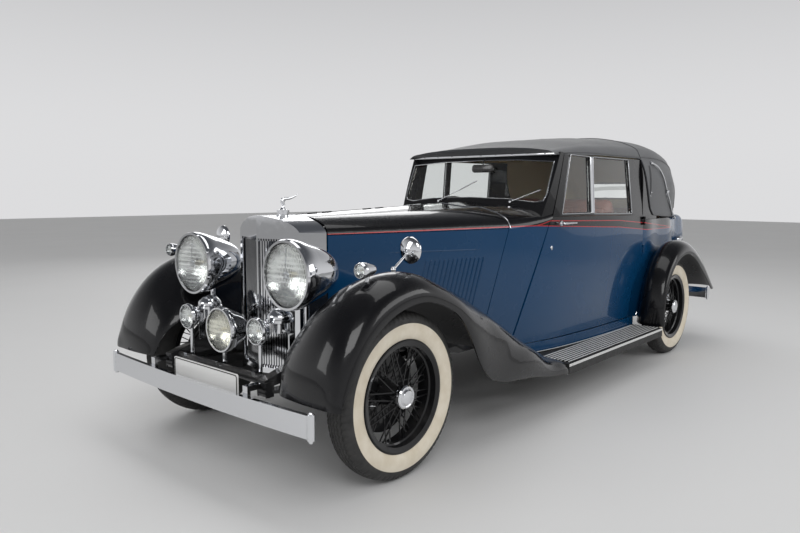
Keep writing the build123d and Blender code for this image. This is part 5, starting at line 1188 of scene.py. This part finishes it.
class COUPE_OT_nose_trim(bpy.types.Operator):
    """Make the cap's plain fin, the plate's border, the bumper's nuts and the boot's handle"""

    bl_idname = "coupe.nose_trim"
    bl_label = "Nose and boot trim"

    def execute(self, context):
        x = front_axle_x + cap_ahead
        foot = np.array([x, 0, cap_height]) / 1000
        pedestal = spun([(0, 0), (0, 22), (4, 22), (7, 15), (16, 9), (26, 8), (30, 0)], foot, (0, 0, 1), 32)
        above = smooth_line([(6, 2), (15, 24), (6, 37), (-30, 40), (-70, 47), (-99, 56)], 44)
        below = smooth_line([(-14, 2), (-9, 15), (-17, 24), (-42, 28), (-72, 38), (-97, 54)], 44)
        turn = np.linspace(0, 2 * pi, 20, endpoint=False)[:, None, None]
        core, reach = (above + below) / 2, (above - below) / 2
        blade = (core + np.cos(turn) * reach).transpose(1, 0, 2)
        thick = np.linspace(5.5, 0.7, 44)[:, None] * np.sin(turn[:, 0, 0])
        fin = np.stack([x + blade[..., 0], thick, cap_height + 26 + blade[..., 1]], -1) / 1000
        plated("cap_fin", [pedestal, closed_rings(fin)], merge=weld)
        low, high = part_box("number_plate")
        ring = oblong((high.y - low.y) - 0.012, (high.z - low.z) - 0.012, 0.01, 6)
        path = np.stack([np.full(len(ring), high.x + 0.0005), ring[:, 0], ring[:, 1] + (low.z + high.z) / 2], 1)
        border = carried(path, circle(0.0022, 8), up=(1, 0, 0), closed=True)
        make("plate_border", [border], "root", "black_paint", "black")
        nut = [(-10, 0), (-10, 8), (0, 9), (0, 12), (104, 12), (104, 9), (110, 6), (112, 0)]
        parts = [
            spun(nut, np.array([x, side * y, z]) / 1000, (0, 0, 1), 24)
            for x, y, z in bumper_nuts
            for side, _ in sides
        ]
        plated("bumper_nuts", parts, merge=weld, sharp=30)
        lid = skin_of("boot_lid")
        spot = laid(lid, [(-2.6, 0, 0.62)], (1, 0, 0), 0.0)[0]
        boss = spun([(0, 0), (0, 16), (3, 15), (5, 9), (11, 8), (13, 0)], spot, (-1, 0, 0), 24)
        grip = run([spot + [-0.011, -0.045, 0], spot + [-0.011, 0.045, 0]], 0.006)
        swell = 0.7 + 0.3 * np.cos(np.linspace(-1, 1, len(grip)) * pi) ** 2
        handle = carried(grip, circle(0.006, 12), swell=swell)
        plated("boot_handle", [boss, handle], "boot_lid", merge=weld)
        return {"FINISHED"}


# Each kind of lamp: how far its rim is ahead of the front axle, its height and radius, and its offsets.
lamp_places = {
    "head": (307, 887, 145, (361, -361)),
    "centre": (400, 615, 99, (0,)),
    "small": (400, 645, 58, (268, -268)),
    "side": (220, 928, 32, (722, -722)),
}


class COUPE_OT_lamps(bpy.types.Operator):
    """Fill the lamps: a reflector bowl, a bulb, and in the headlamps a strut with its shield"""

    bl_idname = "coupe.lamps"
    bl_label = "Lamp insides"

    def execute(self, context):
        share = np.linspace(0, 1, 18)
        for kind, (ahead, height, radius, offsets) in lamp_places.items():
            bowls, bulbs, struts = [], [], []
            for y in offsets:
                centre = np.array([front_axle_x + ahead, y, height]) / 1000
                r = radius / 1000
                front = np.stack([-0.006 - 0.5 * r * (1 - share**2), 0.92 * r * share], 1)
                back = front[::-1] - [0.0025, 0]
                bowls.append(turned(np.concatenate([front, back]), centre, (1, 0, 0), 48, whole=False))
                globe = np.linspace(0, pi, 14)
                bulb = np.stack([-0.24 * r - 0.11 * r * np.cos(globe), 0.1 * r * np.sin(globe)], 1)
                bulbs.append(turned(bulb, centre, (1, 0, 0), 20, whole=False))
                if kind == "head":
                    shield = np.array([(-0.05 * r, 0), (-0.06 * r, 0.13 * r), (-0.02 * r, 0.11 * r), (0.0, 0)])
                    struts.append(turned(shield, centre, (1, 0, 0), 28, whole=False))
                    line = run([centre + [-0.004, 0, 0.1 * r], centre + [-0.004, 0, 0.9 * r]], 0.01)
                    struts.append(carried(line, oblong(0.006, 0.004, 0.001), up=(1, 0, 0)))
            make(f"{kind}_reflectors", bowls, "root", "reflector", "chrome", merge=weld)
            make(f"{kind}_bulbs", bulbs, "root", "ivory", "glass", merge=weld)
            if struts:
                plated(f"{kind}_struts", struts, merge=weld)
        return {"FINISHED"}


# Side outlines of the cushions, a little smaller than they end up: distance behind and height.
front_cushion = [(1962, 652), (1958, 724), (1984, 758), (2080, 764), (2240, 756), (2390, 736), (2400, 700), (2398, 652)]
front_back = [
    (2428, 752), (2500, 960), (2566, 1172), (2590, 1206), (2620, 1208), (2640, 1180), (2590, 950), (2524, 700),
    (2470, 690),
]
rear_cushion = [(2938, 606), (2936, 736), (2966, 774), (3100, 778), (3280, 764), (3392, 748), (3396, 680), (3394, 606)]
rear_back = [(3412, 776), (3450, 930), (3502, 1096), (3532, 1126), (3566, 1128), (3584, 1096), (3586, 930), (3584, 776)]


# Offset of the front seats' middles, and half widths of a front cushion, of the bench and of a seat's base.
seat_y, seat_half, bench_half, base_half = 285, 226, 498, 222


def cushion_form(outline, y, half, side_pull=0.02):
    """A closed cushion: its smooth side outline carried across, drawn in towards its middle by a high power of the
    way to either side, so that the sides are round, and by a little of a square, so that they pull in."""
    loop = np.asarray(outline + outline[:1], float)
    loop = smooth_line(loop, 73)[:-1]
    centre = loop.mean(0)
    share = np.sin(np.linspace(-pi / 2, pi / 2, 42))
    draw = 1 - 0.2 * np.abs(share) ** 14 - side_pull * share**2
    rings = centre + (loop - centre)[None] * draw[:, None, None]
    return place(rings[..., 0], y + half * share[:, None], rings[..., 1])


def settle_modifiers(piece):
    """Puts what a piece's modifiers make into its own mesh."""
    shaped = bpy.data.meshes.new_from_object(piece.evaluated_get(bpy.context.evaluated_depsgraph_get()))
    piece.modifiers.clear()
    piece.data = shaped


def coordinates(mesh):
    """The vertices' places as an array."""
    found = np.zeros(len(mesh.vertices) * 3, np.float32)
    mesh.vertices.foreach_get("co", found)
    return found.reshape(-1, 3).astype(float)


def swell(piece, look):
    """Stuffs a closed mesh: an even mesh, air pressure inside the cloth for twenty steps, and no point moved further
    than the most it may swell."""
    scene = bpy.context.scene
    even = piece.modifiers.new("even_mesh", "REMESH")
    even.mode, even.voxel_size = "VOXEL", look.voxel
    settle_modifiers(piece)
    start = coordinates(piece.data)
    cloth = piece.modifiers.new("cloth", "CLOTH")
    cloth.settings.use_pressure = True
    cloth.settings.uniform_pressure_force = look.pressure
    cloth.settings.effector_weights.gravity = 0
    cloth.point_cache.frame_start, cloth.point_cache.frame_end = 1, 20
    for moment in range(1, 21):
        scene.frame_set(moment)
    moved = coordinates(piece.evaluated_get(bpy.context.evaluated_depsgraph_get()).data)
    piece.modifiers.clear()
    scene.frame_set(1)
    step = moved - start
    far = np.linalg.norm(step, axis=1, keepdims=True)
    step *= np.minimum(1, look.most_swell / np.maximum(far, 1e-9))
    piece.data.vertices.foreach_set("co", (start + step).astype(np.float32).ravel())
    piece.data.update()


def pleat(piece, y, half, pitch, depth, facing, zone):
    """Sews channels into a cushion's face: points there move in along the facing direction by the depth times a
    narrow ridge, one less the size of a sine of the way across, and a seam runs round the pleated field."""
    mesh = piece.data
    co = coordinates(mesh)
    normal = np.zeros(len(co) * 3, np.float32)
    mesh.vertex_normals.foreach_get("vector", normal)
    normal = normal.reshape(-1, 3)
    facing = np.asarray(facing, float) / np.linalg.norm(facing)
    front = np.clip((normal @ facing - 0.45) / 0.3, 0, 1)
    off = np.abs(co[:, 1] - y / 1000)
    reach = (half - 45) / 1000
    inside = np.clip((reach - off) / 0.008, 0, 1)
    d = front_axle_x / 1000 - co[:, 0]
    z = co[:, 2]
    low, high = zone
    along = z if abs(facing[0]) > 0.7 else d
    field = np.clip((along - low) / 0.01, 0, 1) * np.clip((high - along) / 0.01, 0, 1)
    channel = np.clip(1 - np.abs(np.sin(pi * (co[:, 1] - y / 1000) / pitch)) / 0.42, 0, 1) ** 1.5
    border = np.exp(-(((off - reach) / 0.005) ** 2)) * field
    rim = (np.exp(-(((along - low) / 0.005) ** 2)) + np.exp(-(((along - high) / 0.005) ** 2))) * inside
    move = -depth * front * np.clip(channel * inside * field + 0.8 * border + 0.8 * rim, 0, 1)
    mesh.vertices.foreach_set("co", (co + move[:, None] * facing).astype(np.float32).ravel())
    mesh.update()


class CoupeSeats(bpy.types.PropertyGroup):
    """How the cushions are stuffed and sewn."""

    voxel: length("Mesh step", "Edge of the even mesh", 0.006)
    pressure: bpy.props.FloatProperty(
        name="Pressure", description="Air pressure while a cushion swells", default=4.0, min=0
    )
    most_swell: length("Most swell", "The furthest a point may move", 0.012)
    pitch: length("Pleat pitch", "From one pleat's channel to the next", 0.054)
    depth: length("Pleat depth", "Depth of the sewn channels", 0.008)


class COUPE_OT_seats(bpy.types.Operator):
    """Stuff and sew the front and rear seats in pleated hide, in place of the plain solids, and make their bases"""

    bl_idname = "coupe.seats"
    bl_label = "Seats"

    def execute(self, context):
        look = context.scene.coupe_seats
        front = [
            self.cushion("front_cushion_right", front_cushion, -seat_y, seat_half, look, (0, 0, 1), (2.0, 2.36)),
            self.cushion("front_backrest_right", front_back, -seat_y, seat_half, look, (1, 0, 0.32), (0.8, 1.13)),
        ]
        for right in front:
            left = bpy.data.objects.new(right.name.replace("right", "left"), right.data.copy())
            across = coordinates(right.data) + [0, 2 * seat_y / 1000, 0]
            left.data.vertices.foreach_set("co", across.astype(np.float32).ravel())
            context.scene.collection.objects.link(left)
            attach(left, "root")
            self.soften(left)
        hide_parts("front_seats")
        bench = self.cushion("rear_cushion", rear_cushion, 0, bench_half, look, (0, 0, 1), (2.98, 3.36))
        self.cushion("rear_backrest", rear_back, 0, bench_half, look, (1, 0, 0.3), (0.83, 1.06))
        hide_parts("rear_seat")
        bases, rims = [], []
        for y in (-seat_y, seat_y):
            outline = np.array([(1990, 466), (1974, 590), (1966, 640), (2494, 640), (2496, 466)], float)
            share = np.array([-1, -0.985, 0, 0.985, 1])
            rings = outline[None] + np.zeros((5, 1, 1))
            bases.append(closed_rings(place(rings[..., 0], y + base_half * share[:, None], rings[..., 1])))
            left, right = y - base_half + 4, y + base_half - 4
            loop = run([(left, 1972), (right, 1972), (right, 2480), (left, 2480)], 20, closed=True)
            rims.append(carried(place(loop[:, 1], loop[:, 0], 646), circle(0.005, 8), closed=True))
        make("seat_bases", bases, "root", "dark_hide", "leather")
        make("seat_base_pipings", rims, "root", "hide", "leather")
        return {"FINISHED"}

    def soften(self, piece):
        """Rounds a cushion's faces off with one subdivision."""
        finer = piece.modifiers.new("soft", "SUBSURF")
        finer.levels = finer.render_levels = 1

    def cushion(self, name, outline, y, half, look, facing, zone):
        form = cushion_form(outline, y, half)
        piece = make(name, [closed_rings(form)], "root", "hide", "leather", sharp=180)
        swell(piece, look)
        pleat(piece, y, half, look.pitch, look.depth, facing, zone)
        piece.data.polygons.foreach_set("use_smooth", np.ones(len(piece.data.polygons), bool))
        self.soften(piece)
        return piece


def panel_on_side(side, distances, heights, inward, thick):
    """A closed panel inside the body's side: a grid at the body's half width less an inward distance, with its
    second face a thickness further in."""
    d, z = np.meshgrid(distances, heights, indexing="ij")
    outer = place(d, side * (half_width(d) - inward), z)
    inner = place(d, side * (half_width(d) - inward - thick), z)
    return closed_rings(np.concatenate([outer, inner[:, ::-1]], axis=1))


class COUPE_OT_cabin(bpy.types.Operator):
    """Fit out the cabin: door cards and cappings, dials, levers, pedals, mirror, trim panels and visors"""

    bl_idname = "coupe.cabin"
    bl_label = "Cabin"

    def execute(self, context):
        for side, name in sides:
            distances, heights = np.linspace(1650, 2836, 60), np.linspace(505, 1078, 26)
            card = panel_on_side(side, distances, heights, 59.5, 4)
            pocket = panel_on_side(side, np.linspace(2150, 2700, 30), np.linspace(530, 720, 12), 64, 9)
            make(f"door_card_{name}", [card, pocket], f"{name}_door", "hide", "leather")
            rows = np.linspace(1720, 2830, 50)
            capping = carried(place(rows, side * (half_width(rows) - 66), 1088), oblong(0.02, 0.03, 0.008, 4))
            make(f"door_capping_{name}", [capping], f"{name}_door", "walnut", "wood")
            spot = place(2080, side * (half_width(2080) - 64), 900)
            boss = spun([(0, 0), (0, 17), (5, 16), (14, 8), (18, 0)], spot, (0, -side, 0), 24)
            crank = run([spot + [0, -side * 0.013, 0], spot + [-0.03, -side * 0.015, -0.09]], 0.006)
            knob = spun([(0, 0), (0, 6), (12, 9), (26, 8), (30, 0)], crank[-1], (0, -side, 0), 18)
            lock = place(1760, side * (half_width(1760) - 64), 960)
            plate = spun([(0, 0), (0, 15), (5, 14), (12, 7), (16, 0)], lock, (0, -side, 0), 24)
            lever = run([lock + [0, -side * 0.012, 0], lock + [-0.1, -side * 0.016, 0.006]], 0.006)
            parts = [boss, plate, carried(crank, oblong(0.006, 0.012, 0.002), up=(0, 1, 0)), knob]
            taper = np.linspace(0.7, 1.1, len(lever))
            parts.append(carried(lever, oblong(0.006, 0.013, 0.002), up=(0, 1, 0), swell=taper))
            plated(f"door_fittings_{name}", parts, f"{name}_door", merge=weld)
            trim = panel_on_side(side, np.linspace(2880, 3560, 40), np.linspace(600, 1050, 20), 28, 6)
            rest = panel_on_side(side, np.linspace(2950, 3380, 30), np.linspace(800, 850, 8), 34, 42)
            make(f"rear_side_trim_{name}", [trim, rest], "root", "hide", "leather")
        self.board()
        self.controls()
        self.mirror()
        return {"FINISHED"}

    def board(self):
        """Dials in a row on the facia, each a bezel, a face, a needle and marks, with small knobs below them."""
        face_x = (front_axle_x - 1550) / 1000
        bezels, faces, marks = [], [], []
        for y, radius in ((-300, 0.056), (-160, 0.056), (-60, 0.032), (20, 0.032), (100, 0.032), (-410, 0.032)):
            centre = np.array([face_x, y / 1000, 1.035])
            bezel = [(0, radius - 0.004), (0, radius + 0.003), (0.005, radius + 0.002), (0.008, radius - 0.003)]
            bezels.append(turned(bezel, centre, (-1, 0, 0), 48))
            face = [(0, 0), (0, radius - 0.003), (0.003, radius - 0.003), (0.003, 0)]
            faces.append(turned(face, centre, (-1, 0, 0), 40, whole=False))
            for angle in np.linspace(-2.2, 2.2, 9):
                way = np.array([0, -sin(angle), cos(angle)])
                inner = centre + [-0.0036, 0, 0]
                mark = [inner + way * radius * 0.72, inner + way * radius * 0.88]
                marks.append(carried(mark, oblong(0.0008, 0.0022), up=(1, 0, 0)))
            way, pivot = np.array([0, -sin(-0.9), cos(-0.9)]), centre + [-0.005, 0, 0]
            needle = [pivot, pivot + way * radius * 0.66]
            marks.append(carried(needle, oblong(0.001, 0.002), up=(1, 0, 0), swell=[1.4, 0.4]))
        knob = [(0, 0), (0, 5), (12, 5), (14, 9), (22, 8), (24, 0)]
        knobs = [spun(knob, (face_x, y / 1000, 0.965), (-1, 0, 0), 20) for y in np.linspace(-60, 260, 6)]
        plated("dial_bezels", bezels)
        make("dial_faces", faces, "root", "dial_face", "black", merge=weld)
        make("dial_marks", marks, "root", "ivory", "plate")
        make("facia_knobs", knobs, "root", "moulding", "steering_rim", merge=weld)
        lid = run([(150, 985), (420, 985), (420, 1090), (150, 1090)], 12, closed=True)
        path = np.stack([np.full(len(lid), face_x - 0.001), lid[:, 0] / 1000, lid[:, 1] / 1000], 1)
        plated("glove_lid_bead", [carried(path, circle(0.002, 8), up=(1, 0, 0), closed=True)])

    def controls(self):
        """Gear lever, handbrake and pedals, each a tapered rod on a smooth line with its knob or pad."""
        gear = smooth_line(place([1800, 1812, 1850, 1880], [-80, -82, -92, -96], [454, 560, 700, 790]), 30)
        knob = np.linspace(0, pi, 14)
        ball = np.stack([0.02 - 0.022 * np.cos(knob), 0.021 * np.sin(knob)], 1)
        rod = carried(gear, circle(0.0075, 14), up=(0, 1, 0), swell=np.linspace(1.25, 0.8, 30))
        brake = smooth_line(place([1700, 1730, 1790, 1835], [-520, -520, -518, -516], [454, 560, 690, 770]), 26)
        arm = carried(brake, oblong(0.011, 0.02, 0.004), up=(0, 1, 0))
        plated("levers", [rod, arm])
        boot = [(0, 0), (0, 34), (10, 32), (26, 20), (50, 12), (52, 0)]
        boots = [spun(boot, place(d, y, 455), (0, 0, 1), 28) for d, y in ((1802, -80), (1702, -520))]
        grip = smooth_line(place([1828, 1850, 1862], [-516, -515, -515], [756, 800, 826]), 12)
        grip = carried(grip, circle(0.013, 16), up=(0, 1, 0))
        ball = turned(ball, gear[-1], (-0.3, 0, 1), 24, whole=False)
        make("lever_knobs", [ball, grip, *boots], "root", "moulding", "steering_rim", merge=weld)
        pads, stems = [], []
        for y, wide in ((-400, 0.06), (-310, 0.06), (-225, 0.045)):
            low = place([1395, 1440], [y, y], [470, 600])
            stem = smooth_line([low[0], low.mean(0) + [-0.012, 0, 0], low[1]], 12)
            stems.append(carried(stem, oblong(0.01, 0.014, 0.003), up=(0, 1, 0)))
            tilt = np.array([0.05, 0, 0.06])
            pad = run([low[1] - 0.5 * tilt, low[1] + 0.5 * tilt], 0.008)
            pads.append(carried(pad, oblong(wide, 0.012, 0.004), up=(-1, 0, 0.6)))
        make("pedal_pads", pads, "root", "moulding", "tyre")
        make("pedal_stems", stems, "root", "chassis_paint", "chassis_black")

    def mirror(self):
        """The inside mirror on its stem under the head rail, and two cloth visors folded against it."""
        centre = place(1612, 46, 1400)
        ring = oblong(0.17, 0.052, 0.02, 6)
        path = np.stack([np.full(len(ring), centre[0]), centre[1] + ring[:, 0], centre[2] + ring[:, 1]], 1)
        case = ((-0.006, 1.0), (0.004, 1.0), (0.01, 0.8))
        back = closed_rings(np.stack([(path - centre) * [1, s, s] + centre + [g, 0, 0] for g, s in case]))
        face = [(path - centre) * [1, 0.95, 0.92] + centre + [g, 0, 0] for g in (-0.0075, -0.005)]
        stem = smooth_line(place([1607, 1618, 1645], [46, 46, 46], [1400, 1440, 1470]), 14)
        stem = carried(stem, circle(0.004, 10), up=(0, 1, 0))
        make("inside_mirror", [back, stem], "root", "moulding", "steering_rim")
        make("inside_mirror_glass", [closed_rings(np.stack(face))], "root", "chrome", "glass")
        visors = []
        for y in (-300, 300):
            outline = oblong(0.38, 0.09, 0.02, 5)
            flat = np.stack([-outline[:, 1], outline[:, 0]], 1)
            rings = [
                np.stack([place(1716, y, 0)[0] + flat[:, 0] * s, y / 1000 + flat[:, 1] * s, np.full(len(flat), h)], 1)
                for s, h in ((0.97, 1.452), (1.0, 1.455), (1.0, 1.461), (0.97, 1.464))
            ]
            visors.append(closed_rings(np.array(rings)))
        make("visors", visors, "root", "board_cloth", "cloth")


class COUPE_OT_stage(bpy.types.Operator):
    """Lay the floor, hang the lights and set up the camera"""

    bl_idname = "coupe.stage"
    bl_label = "Stage"

    def execute(self, context):
        scene = context.scene
        floor = bpy.data.meshes.new("studio_floor")
        floor.from_pydata([(-30, -30, 0), (30, -30, 0), (30, 30, 0), (-30, 30, 0)], [], [(0, 1, 2, 3)])
        worn("studio_floor", (0.66, 0.66, 0.66), 0.5, 0.8, 0.5, 0.62)
        floor.materials.append(finishes["studio_floor"])
        ground = bpy.data.objects.new("studio_floor", floor)
        scene.collection.objects.link(ground)
        soft_world(scene)
        target = Vector(light_target)
        for name, spot, size, power in soft_lights:
            lamp = bpy.data.lights.new(name, "AREA")
            lamp.shape = "RECTANGLE"
            lamp.size, lamp.size_y = size
            lamp.energy = power
            hung = bpy.data.objects.new(name, lamp)
            hung.location = spot
            hung.rotation_mode = "QUATERNION"
            hung.rotation_quaternion = (target - Vector(spot)).to_track_quat("-Z", "Y")
            scene.collection.objects.link(hung)
        set_camera(scene)
        scene.view_settings.view_transform = "Standard"
        return {"FINISHED"}


# Soft lights: place, size in metres and power.
light_target = (0.3, 0, 0.6)
soft_lights = [
    ("key_light", (5.5, 5.5, 5.5), (4.0, 3.0), 190),
    ("side_light", (-3.5, 7.0, 3.6), (6.0, 2.5), 120),
    ("front_light", (8.0, -2.5, 3.5), (3.0, 3.0), 80),
    ("top_light", (0.0, 0.0, 6.5), (7.0, 3.0), 120),
    ("far_light", (-4.0, -6.5, 4.5), (6.0, 3.0), 110),
]


def soft_world(scene):
    """A pale room: the light it gives is plain, and what the camera, metal and glass see fades from pale at eye
    level to a darker ceiling."""
    world = bpy.data.worlds.new("soft_room")
    world.use_nodes = True
    tree = world.node_tree
    tree.nodes.clear()
    up = axes(tree, node(tree, "TexCoord").outputs["Generated"])[2]
    fade = spread(tree, up, 0.05, 0.75, interpolation_type="SMOOTHSTEP")
    seen = node(tree, "Background", {"Color": blended(tree, fade, (0.72, 0.72, 0.73), (0.09, 0.095, 0.105))})
    plain = node(tree, "Background", {"Color": (0.8, 0.8, 0.8, 1), "Strength": 0.62})
    ray = node(tree, "LightPath").outputs
    first = maths(tree, "MAXIMUM", ray["Is Camera Ray"], ray["Is Glossy Ray"])
    rays = maths(tree, "MAXIMUM", first, ray["Is Transmission Ray"])
    mix = node(tree, "MixShader", {0: rays, 1: plain.outputs[0], 2: seen.outputs[0]})
    node(tree, "OutputWorld", {"Surface": mix.outputs[0]})
    scene.world = world


# The camera: its place, its yaw, pitch and roll in degrees, and its focal length and film width in millimetres.
eye_place = (3.9875, 2.6359, 1.2428)
eye_turn = (41.28, 6.214, 0.2685)
focal_length, film_width = 30.72, 36


def set_camera(scene):
    """A camera ahead of the car on its left, a little above the lamps, turned by its yaw, pitch and roll."""
    yaw, pitch, roll = (radians(turn) for turn in eye_turn)
    forward = Vector((-cos(yaw) * cos(pitch), -sin(yaw) * cos(pitch), -sin(pitch)))
    level = forward.cross(Vector((0, 0, 1))).normalized()
    above = level.cross(forward)
    right = cos(roll) * level + sin(roll) * above
    top = cos(roll) * above - sin(roll) * level
    lens = bpy.data.cameras.new("camera")
    lens.lens, lens.sensor_width, lens.sensor_fit = focal_length, film_width, "HORIZONTAL"
    eye = bpy.data.objects.new("camera", lens)
    rows = [(*turned_by, moved) for *turned_by, moved in zip(right, top, -forward, eye_place)]
    eye.matrix_world = Matrix((*rows, (0, 0, 0, 1)))
    scene.collection.objects.link(eye)
    scene.camera = eye


class COUPE_PT_panel(bpy.types.Panel):
    """The car's sizes, colours and pieces, in the sidebar"""

    bl_idname = "COUPE_PT_panel"
    bl_label = "Drophead coupe"
    bl_space_type = "VIEW_3D"
    bl_region_type = "UI"
    bl_category = "Coupe"

    def draw(self, context):
        for holder, kind in settings.items():
            for key in kind.__annotations__:
                self.layout.prop(getattr(context.scene, holder), key)
        for operator in operators:
            self.layout.operator(operator.bl_idname)


operators = (
    COUPE_OT_finishes,
    COUPE_OT_tyres,
    COUPE_OT_hub_caps,
    COUPE_OT_head,
    COUPE_OT_body_trim,
    COUPE_OT_boards,
    COUPE_OT_nose_trim,
    COUPE_OT_lamps,
    COUPE_OT_seats,
    COUPE_OT_cabin,
    COUPE_OT_stage,
)
settings = {"coupe_look": CoupeLook, "coupe_tyres": CoupeTyres, "coupe_seats": CoupeSeats}


def register():
    """Adds the operators, their settings and the panel to Blender."""
    for kind in (*settings.values(), *operators, COUPE_PT_panel):
        bpy.utils.register_class(kind)
    for holder, kind in settings.items():
        setattr(bpy.types.Scene, holder, bpy.props.PointerProperty(type=kind))


def unregister():
    """Takes them out again."""
    for holder in settings:
        delattr(bpy.types.Scene, holder)
    for kind in reversed((*settings.values(), *operators, COUPE_PT_panel)):
        bpy.utils.unregister_class(kind)


def main():
    """Makes every piece in order."""
    register()
    for operator in operators:
        getattr(bpy.ops.coupe, operator.bl_idname.split(".")[1])()


if __name__ == "__main__":
    main()
